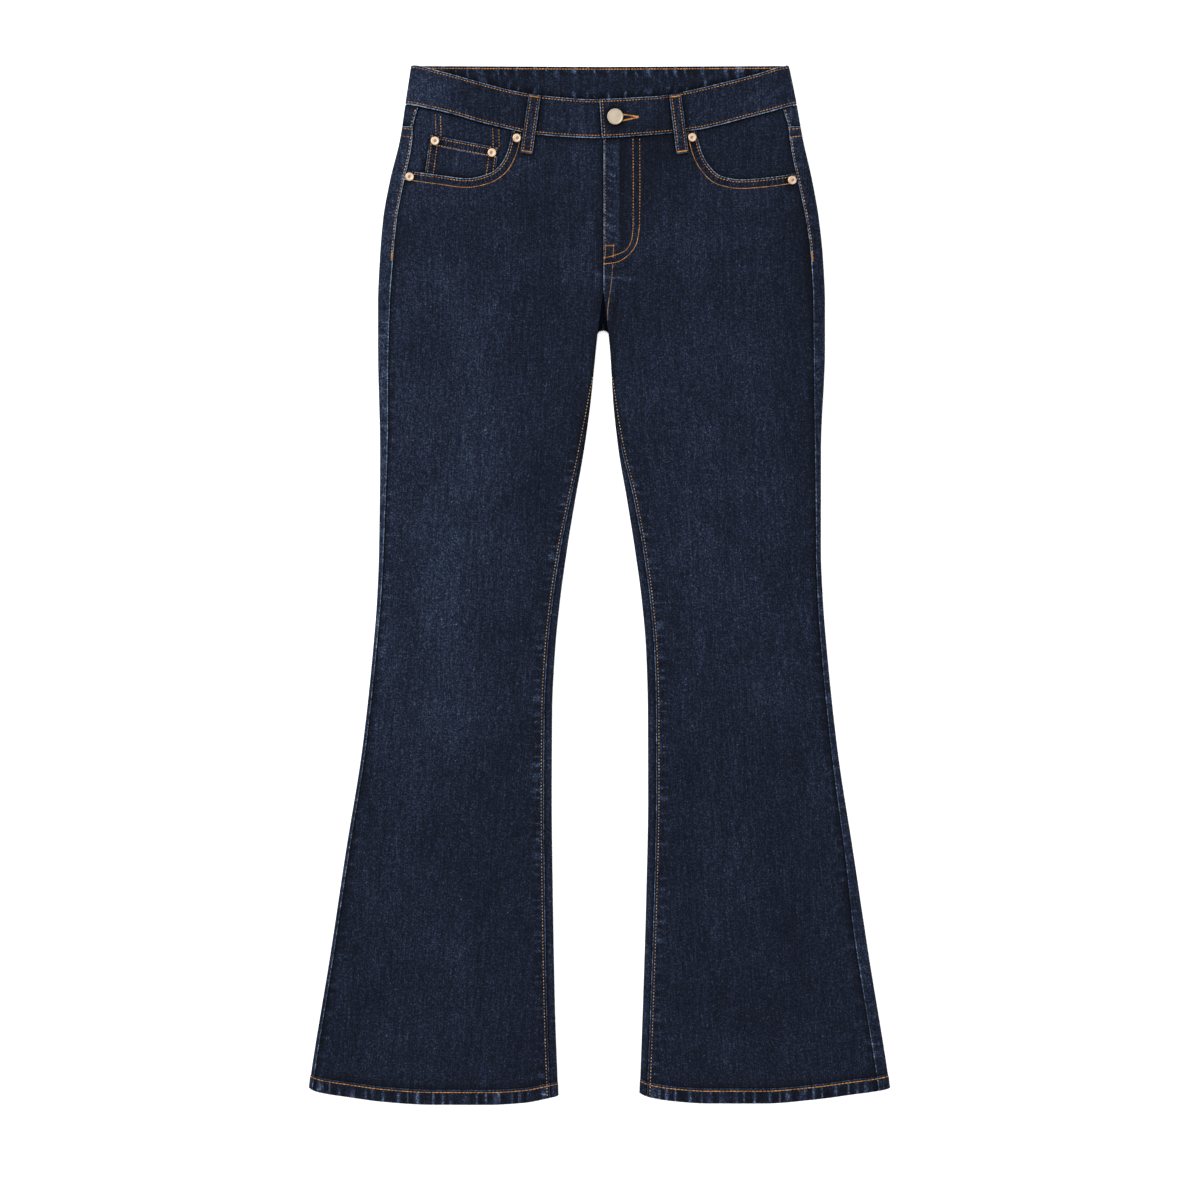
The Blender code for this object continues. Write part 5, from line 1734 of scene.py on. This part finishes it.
# %% Inseams, outseams and hems
def inseam_line(side):
    # Above the knee the seam turns under the fold of the leg, and its stitches go with it.
    drops = np.r_[np.arange(328.0, HEM_CORNER - 24, 6.0), np.arange(HEM_CORNER - 22, HEM_CORNER, 2.0)]
    across = front_edge(side, drops) + 2.9 * ease((drops - 318) / 36.0) ** 0.7
    thick = np.where(drops > HEM_CORNER - HEM_DEPTH, HEM_RISE + 0.15, 0.0)
    across, drops, thick = across[:-1], hem_bend(side, across, drops)[:-1], thick[:-1]
    return skin(side, across, drops, 1, -(front_lift(side, across, drops) + thick + THREAD_STANDS))


def outseam_line(side, start, end):
    drops = np.arange(start, end, 5.0)
    return on_back_strip(side, np.stack([side.outseam(drops) + 1.9, drops], -1))


def hem_line(side, face):
    level = HEM_CORNER - HEM_STITCH
    low = float(side.inner(level)) + (2.0 if face > 0 else 1.5)
    across = np.linspace(low, float(side.outer(level)) - 1.5, 90)
    drop = hem_bend(side, across, np.full(90, level))
    on_front_panel = (across > front_edge(side, level)) & (across < side.outseam(level) - GAP)
    lift = np.where((face > 0) & on_front_panel, front_lift(side, across, drop), 0.0)
    return skin(side, across, drop, face, -lift - THREAD_STANDS - (0.20 if face > 0 else -0.1))


pale = [inseam_line(side) for side in SIDES]
sew("stitches_inseams", pale, tan_thread, spacing=3.4, along=2.0, across=0.95)
sides = [outseam_line(side, *ends) for side in SIDES for ends in ((48.0, 64.0), (77.0, 206.0))]
sew("stitches_outseams", sides, tan_thread, spacing=3.3, along=2.2, across=1.0)
hems = [hem_line(side, face) for side in SIDES for face in (1, -1)]
sew("stitches_hems", hems, tobacco_thread, spacing=3.9, along=4.2, across=0.95)


# %% Pocket mouths, yokes and back seams
def beside_mouth(side, away):
    """A line that keeps a distance below the pocket's mouth."""
    across, drop = mouth_at(side, np.linspace(0.0, 1.0, 60))
    run_across, run_drop = np.gradient(across), np.gradient(drop)
    length = np.hypot(run_across, run_drop)
    across, drop = across - away * run_drop / length, drop + away * run_across / length
    keep = (drop > BAND_LOWER(side.name, across) + 1.2) & (across < side.outseam(drop) - 0.6)
    return on_front(side, np.stack([across[keep], drop[keep]], -1)[::3])


mouths = [beside_mouth(side, 2.6) for side in SIDES]
sew("stitches_pocket_mouths", mouths, tobacco_thread, spacing=3.2, along=2.4, across=0.8)
facings = [beside_mouth(side, 9.4) for side in SIDES]
sew("stitches_pocket_facings", facings, tobacco_thread, spacing=2.4, along=2.7, across=0.75)


def yoke_line(side, over):
    shares = np.linspace(0, 1, 30)
    start = float(side.outer(YOKE_SIDE_DROP) - half_height(YOKE_SIDE_DROP))
    across = mix(start, side.seam + 0.5, shares)
    drop = mix(YOKE_SIDE_DROP, YOKE_BACK_DROP, shares) + over
    return on_back_strip(side, np.stack([across, drop], -1), face=-1)


def seat_line(away):
    drops = np.arange(110.0, 272.0, 6.0)
    return on_back_strip(LEFT, np.stack([np.full(len(drops), MIDDLE_SEAM + away), drops], -1), face=-1)


def yoke_wrap_line(side, over):
    """The yoke's seam comes round the side fold and ends at the outseam on the front."""
    drop = YOKE_SIDE_DROP + over
    across = np.linspace(float(side.outseam(drop)) + 0.8, float(side.outer(drop)) - 1.0, 12)
    return on_back_strip(side, np.stack([across, drop - np.linspace(0, 1.2, 12)], -1))


BACK_THREAD = 0.06  # mm over the floor's side, so that the thread stays off the floor


def pocket_edge_lines(side, away):
    """Stitches down both sides of a back pocket and along its lower edge."""
    reach, shares = 1 - away / 66.0, np.linspace(0.03, 1, 20) * (1 - away / 118.0)
    places = [pocket_place(shares, -reach), pocket_place(shares, reach)]
    places += [pocket_place(1 - away / 125.0, np.linspace(-reach, reach, 41))]
    return [side.point(across, drop, BACK_THREAD) for across, drop, _ in places]


def pocket_mouth_line(side, down):
    reach = pocket_half(down) - POCKET_STITCH
    across = BACK_POCKET_MIDDLE + np.array([-reach, reach])
    return side.point(across, BACK_POCKET_TOP + down, BACK_THREAD)


seat = [yoke_line(side, over) for side in SIDES for over in (2.6, 8.6)]
seat += [seat_line(away) for away in (2.6, 8.6)]
seat += [yoke_wrap_line(side, over) for side in SIDES for over in (3.1, 11.2)]
sew("stitches_yokes_and_seat", seat, tobacco_thread, spacing=3.0, along=2.75)
edges = [line for side in SIDES for away in (POCKET_STITCH, 8.6) for line in pocket_edge_lines(side, away)]
edges += [pocket_mouth_line(side, down) for side in SIDES for down in (3.0, 12.0)]
sew("stitches_back_pockets", edges, tobacco_thread, spacing=3.0, along=2.75, height=0.5)

# %% The waistband, its overlap end and the inside of the back
BAND_ROWS = (0.064, 0.936)
INNER_ROW = 0.062


def band_line(side, share):
    start = float(mix(*OVERLAP_END, share)) + 2.8 if side is LEFT else 0.5
    across = np.linspace(start, float(side.outer(mix(*BAND_EDGE, share))) - BAND_HALF, 60)
    drop = mix(BAND_UPPER(side.name, across), BAND_LOWER(side.name, across), share)
    return on_band(side, np.stack([across, drop], -1))


def back_band_places(share, start, end):
    """A row on the back of the band, from start at the middle to end at the side."""
    across = np.linspace(start, end, 60)
    along = 1 - (across - across[0]) / (across[-1] - across[0])
    return across, back_band_drop(along, share)


def back_band_line(side, share):
    start, end = side.sign * MIDDLE_SEAM + 1.0, float(side.outer(20.0)) - BAND_HALF - 1
    return on_band(side, np.stack(back_band_places(share, start, end), -1), -1)


def overlap_line():
    share = np.linspace(0.066, 0.934, 20)
    across = mix(*OVERLAP_END, share) + 3.0
    drop = mix(BAND_UPPER("left", across), BAND_LOWER("left", across), share)
    return on_band(LEFT, np.stack([across, drop], -1))


def inner_back_line(side):
    """The stitches on the inside of the back waistband, just under its straight top edge."""
    places = back_band_places(INNER_ROW, side.sign * MIDDLE_SEAM, float(side.outer(2.0)) - 5.0)
    return side.point(*places, BAND_FLOOR + BAND_WALL + 0.08)


around = [line(side, share) for line in (band_line, back_band_line) for side in SIDES for share in BAND_ROWS]
around += [overlap_line()]
sew("stitches_waistband", around, tobacco_thread, spacing=3.2, along=2.4, across=0.8)
inner = [inner_back_line(side) for side in SIDES]
sew("stitches_inner_back", inner, tobacco_thread, spacing=3.0, along=2.9, across=1.05)

# %% The fly's curved rows, its edge, the fork and the coin pocket
FLY_ROWS = (((35.4, 78.5), (35.7, 130.0), (35.4, 172.0)), ((42.4, 78.5), (42.6, 130.0), (42.2, 168.0)))
FLY_CURVES = (
    ((35.4, 172.0), (34.4, 181.2), (28.7, 193.7), (15.1, 200.0), (5.6, 202.4)),
    ((42.2, 168.0), (41.6, 174.0), (39.1, 187.1), (31.2, 198.8), (18.2, 206.9), (5.2, 208.8)),
)
fly = [on_front(LEFT, row) for row in FLY_ROWS]
sew("stitches_fly", fly, tobacco_thread, spacing=3.2, along=2.4, across=0.8)
# Round the curve and beside the box, the thread was pulled flat, so stitches touch.
fly = [on_front(LEFT, curve) for curve in FLY_CURVES]
fly += [on_front(LEFT, ((15.2, 190.0), (14.4, 201.0))), on_front(LEFT, ((6.6, 191.0), (6.2, 202.0)))]
sew("stitches_fly_curve", fly, tobacco_thread, spacing=2.4, along=2.8, across=0.85)
# The fly's edge row lies in shade, so it takes the thread with painted shade.
fly_edge = [on_front(LEFT, ((6.5, 79.0), (6.5, 130.0), (6.5, 188.0)))]
sew("stitches_fly_edge", fly_edge, tobacco_thread_in_painted_shade, spacing=3.2, along=2.2, across=0.8)
# The fork's row also lies in shade and takes the thread with painted shade.
FORK_ROW = ((14.2, 210.5), (12.9, 226.0), (11.3, 239.0), (9.6, 250.5), (8.8, 260.0), (8.9, 267.0))
fork = [on_front(LEFT, FORK_ROW)]
sew("stitches_fork", fork, tobacco_thread_in_painted_shade, spacing=2.4, along=2.9, across=0.95)


def on_coin(along, down, step=1.2):
    places = np.stack(np.broadcast_arrays(along, down), -1)
    first, second = dense(places, step)
    across, drop = coin_place(first, second)
    return skin(RIGHT, across, drop, 1, POCKET_LEVEL - COIN_PUFF - THREAD_STANDS)


coin = [on_coin(np.array([2.0, 71.0]), down) for down in (2.6, 9.6)]
coin += [on_coin(along, np.array([1.0, 48.0])) for along in (2.4, 8.8, 64.2, 70.6)]
FACING_ROWS = (
    # the top and the low end of two pairs of rows that hold the wall's facing, above the coin pocket
    ((172.0, 52.5), (171.4, 72.0)),
    ((166.6, 54.5), (166.2, 73.0)),
    ((111.8, 67.0), (111.2, 86.0)),
    ((105.4, 68.5), (105.0, 84.5)),
)
coin += [skin(RIGHT, *dense(ends), 1, 2 * POCKET_LEVEL - THREAD_STANDS) for ends in FACING_ROWS]
sew("stitches_coin_pocket", coin, tobacco_thread, spacing=3.0, along=2.2, across=0.75)


LOOP_ROWS = (-LOOP_STITCH, LOOP_STITCH)


def loop_lines(side):
    for shift in LOOP_ROWS:
        across, drop, base = loop_place(side, np.linspace(0.03, 0.97, 40), shift)
        yield side.point(across, drop, base + LOOP_PLY - 0.05)


def back_loop_lines(middle):
    y = LENGTH / 2 - np.linspace(2.5, 60.0, 20)
    return [np.stack([np.full(20, middle + shift), y, np.full(20, 0.08)], -1) for shift in LOOP_ROWS]


loops = [line for side in SIDES for line in loop_lines(side)]
loops += [line for middle in BACK_LOOPS.values() for line in back_loop_lines(middle)]
sew("stitches_belt_loops", loops, tobacco_thread, spacing=3.1, along=2.2, across=0.75, height=0.5)

# %% [markdown]
# ### Bar tacks and the buttonhole
# Where a seam takes strain, the machine sews a dense bar over it: on the belt loops' ends, at the
# fly's foot and at the outseams. The buttonhole is edged with the same dense thread.


# %% Bar tacks
def tack_on_loop(side, share):
    across, drop, base = loop_place(side, share, np.linspace(-5.0, 5.0, 12))
    return side.point(across, drop, base + LOOP_PLY + 0.05)


def tack_on_outseam(side, drop):
    ends = [(float(side.outseam(level)) + 1.4, level) for level in (drop, drop + 10.0)]
    return on_back_strip(side, ends)


FLY_TACKS = (((6.4, 189.6), (15.6, 189.6)), ((5.3, 201.4), (5.3, 203.0)), ((5.2, 207.6), (5.2, 209.4)))
tacks = [tack_on_loop(side, share) for side in SIDES for share in (0.035, 0.965)]
tacks += [tack_on_outseam(RIGHT, 195.0), tack_on_outseam(LEFT, 196.0)]
tacks += [on_front(LEFT, ends, 0.5) for ends in FLY_TACKS]
sew("bar_tacks", tacks, tobacco_thread, spacing=0.55, along=0.62, across=1.7, height=0.9)


def on_overlap(places):
    across, drop = dense(places, 0.5)
    return skin(LEFT, across, drop, 1, -OVERLAP_LIFT - THREAD_STANDS, BAND_LEVELS)


HOLE_EDGES = (((23.0, 52.4), (31.0, 53.4), (41.0, 55.0)), ((23.0, 59.2), (31.0, 57.6), (41.0, 55.4)))
hole = [on_overlap(edge) for edge in HOLE_EDGES]
sew("buttonhole_thread", hole, tobacco_thread, spacing=0.6, along=0.7, across=1.9, height=0.9)

# %% The closed zip: its teeth lie half sunk in the tape, out of sight under the fly
teeth = skin(LEFT, np.full(60, 22.75), np.linspace(101.0, 186.0, 60), 1, 0.0)
sew("zip_teeth", [teeth], brass, spacing=2.1, along=1.2, across=4.2, height=0.4)

# %% [markdown]
# ## Button and rivets
# Both are turned on the real object's own axis, so a spun profile gives their true shape: a flat
# button with a low rim, and rivets with a ring, a groove and a small burr, pressed a little off centre.


# %% Spun metal pieces
def spun(name, profile, place, material, segments=48, lean=0.0):
    """A profile of (radius, height) spun about Z. lean shifts what is near the middle to one side."""
    turns = np.linspace(0, math.tau, segments, endpoint=False)
    profile = np.array(profile, float)
    rings = []
    for radius, height in profile:
        shift = lean * (1 - ease(radius / 3.2))
        ring = radius * np.cos(turns) + shift, radius * np.sin(turns), np.full(segments, height)
        rings.append(np.stack(ring, -1))
    points = np.concatenate(rings) + np.asarray(place)
    bm = bmesh.new()
    verts = [bm.verts.new(point * MM) for point in points]
    for ring in range(len(profile) - 1):
        low, high = ring * segments, (ring + 1) * segments
        for i in range(segments):
            j = (i + 1) % segments
            bm.faces.new([verts[k] for k in (low + i, low + j, high + j, high + i)])
    bm.faces.new(verts[:segments][::-1])
    bm.faces.new(verts[-segments:])
    bmesh.ops.recalc_face_normals(bm, faces=bm.faces)
    mesh = bpy.data.meshes.new(name)
    bm.to_mesh(mesh)
    bm.free()
    mesh.materials.append(material)
    mesh.shade_smooth()
    mesh.set_sharp_from_angle(angle=math.radians(50))
    return place_object(name, mesh)


BUTTON_PROFILE = (
    # radius and height: up the shank's side, over the rim, and in across the face
    *((6.3, 0.0), (6.5, 0.8), (8.2, 1.0), (8.5, 1.5), (8.45, 2.3), (8.1, 2.85), (7.6, 3.0)),
    *((7.1, 2.85), (6.8, 2.62), (6.4, 2.6), (3.0, 2.75), (0.6, 2.8)),
)
RIVET_PROFILE = (
    # the outer side and the ring, then the groove, and the pit with its burr
    *((4.5, 0.0), (4.65, 0.5), (4.5, 0.95), (4.15, 1.25), (3.7, 1.4), (3.2, 1.4), (2.8, 1.28)),
    *((2.4, 1.25), (2.1, 1.32), (1.8, 1.3), (1.5, 1.0), (1.2, 0.7), (0.8, 0.62), (0.4, 0.85), (0.2, 0.9)),
)
PIT_RADIUS = 1.4
BUTTON_BASE = BAND_TOP + OVERLAP_LIFT + GAP
button = spun("metal_button", BUTTON_PROFILE, LEFT.point(*BUTTON_PLACE, BUTTON_BASE), nickel, 64)
stand_for(button, "button", slot="button_metal")
for number, (name, (side, across, drop, depth)) in enumerate(RIVETS.items()):
    place = skin(side, across, drop, 1, depth - GAP)
    lean = 0.7 * math.cos(number * 1.9)
    rivet = spun("metal_" + name, RIVET_PROFILE, place, copper, 40, lean)
    # The faces in the pit take the darker copper, as painted shade.
    rivet.data.materials.append(copper_with_painted_pit_shade)
    middle = place + np.array([lean, 0, 0])
    for face in rivet.data.polygons:
        if math.dist(face.center[:2], middle[:2] * MM) < PIT_RADIUS * MM and face.center[2] > place[2] * MM:
            face.material_index = 1
    stand_for(rivet, name, slot="rivet_copper")
slider = bpy.data.objects["zip_slider"]
slider.data.materials.clear()
slider.data.materials.append(brass)
print("Button and", len(RIVETS), "rivets")

# %% [markdown]
# ## The cloth's cut
# Each sheet lies as it was cut, apart from the folds, so its flat size is the length of its own rows
# and columns. Here only its area is summed, from the cells of its middle grid.

# %% The area of every sheet
for piece, middle, cells in MADE:
    first, second = middle[1:, 1:] - middle[:-1, :-1], middle[1:, :-1] - middle[:-1, 1:]
    area = float((np.linalg.norm(np.cross(first, second), axis=2) / 2 * cells).sum()) * MM * MM

# %% [markdown]
# ## Floor, light and camera
# The jeans lie on a plain white panel that is lit a little from behind, as product studios use, so
# that their shadow is almost lost. A large soft light stands off to one side, so that puckers and
# seams cast a little shade, and an even sky fills the rest. The camera looks straight down through
# a long lens, so nothing is drawn out of shape.

# %% Floor
FLOOR_REACH = 4.0
FLOOR_LEVEL = -0.0004
WHITE = (1.0, 1.0, 1.0, 1.0)
panel = {"Roughness": 0.95, "Specular_IOR_Level": 0.1, "Emission_Strength": 0.35, "Emission_Color": WHITE}
floor_material, floor_tree, floor_shader = new_material("opal_white_panel", **panel)
place = node(floor_tree, "ShaderNodeTexCoord").outputs["Object"]
fibre = node(floor_tree, "ShaderNodeTexNoise", {"Vector": place, "Scale": 300.0})
paper = node(floor_tree, "ShaderNodeValToRGB", {"Fac": fibre})
fill_ramp(paper, ((0.0, "#fafafa"), (1.0, "#ffffff")))
floor_tree.links.new(paper.outputs["Color"], floor_shader.inputs["Base Color"])
floor_mesh = bpy.data.meshes.new("floor")
corners = [(x * FLOOR_REACH, y * FLOOR_REACH, FLOOR_LEVEL) for x, y in ((-1, -1), (1, -1), (1, 1), (-1, 1))]
floor_mesh.from_pydata(corners, [], [(0, 1, 2, 3)])
floor_mesh.materials.append(floor_material)
floor = place_object("floor", floor_mesh)

# %% Light
world = bpy.data.worlds.new("even_sky")
world.use_nodes = True
background = world.node_tree.nodes["Background"]
background.inputs["Color"].default_value = WHITE
background.inputs["Strength"].default_value = 1.2
bpy.context.scene.world = world


def soft_light(name, place, size, power):
    light = bpy.data.lights.new(name, "AREA")
    light.shape = "DISK"
    light.size = size
    light.energy = power
    lamp = place_object(name, light)
    lamp.location = place
    across, along, up = place
    lamp.rotation_euler = (math.atan2(math.hypot(across, along), up), 0.0, math.atan2(across, -along))


soft_light("window_light", (-1.3, 1.5, 2.2), 1.4, 34.0)
soft_light("fill_light", (1.8, -0.6, 2.2), 1.8, 6.0)
bpy.context.scene.view_settings.view_transform = "Standard"

# %% Camera
PHOTO = 1200.0  # pixels: the photograph's width and height
PIXEL = 1.05  # mm of the jeans for each pixel of the photograph
MIDDLE_X = 599.25  # pixels: the middle line of the jeans
WAIST_Y = 65.5  # pixels: the back waist's top edge
HEIGHT = 3.5
FOLD_LEVEL = 0.003  # metres: the folds' height, where the scale holds
SENSOR = 36.0
lens = SENSOR * (HEIGHT - FOLD_LEVEL) / (PHOTO * PIXEL * MM)
camera_data = bpy.data.cameras.new("camera")
camera_data.lens = lens
camera_data.sensor_width = SENSOR
camera_data.clip_end = 20.0
camera = place_object("camera", camera_data)
right, down = (PHOTO / 2 - MIDDLE_X) * PIXEL, (PHOTO / 2 - WAIST_Y) * PIXEL
camera.location = (right * MM, (LENGTH / 2 - down) * MM, HEIGHT)
camera.rotation_euler = (0.0, 0.0, 0.0)
bpy.context.scene.camera = camera
print(f"Lens {lens:.1f} mm, camera at", tuple(round(v, 4) for v in camera.location))
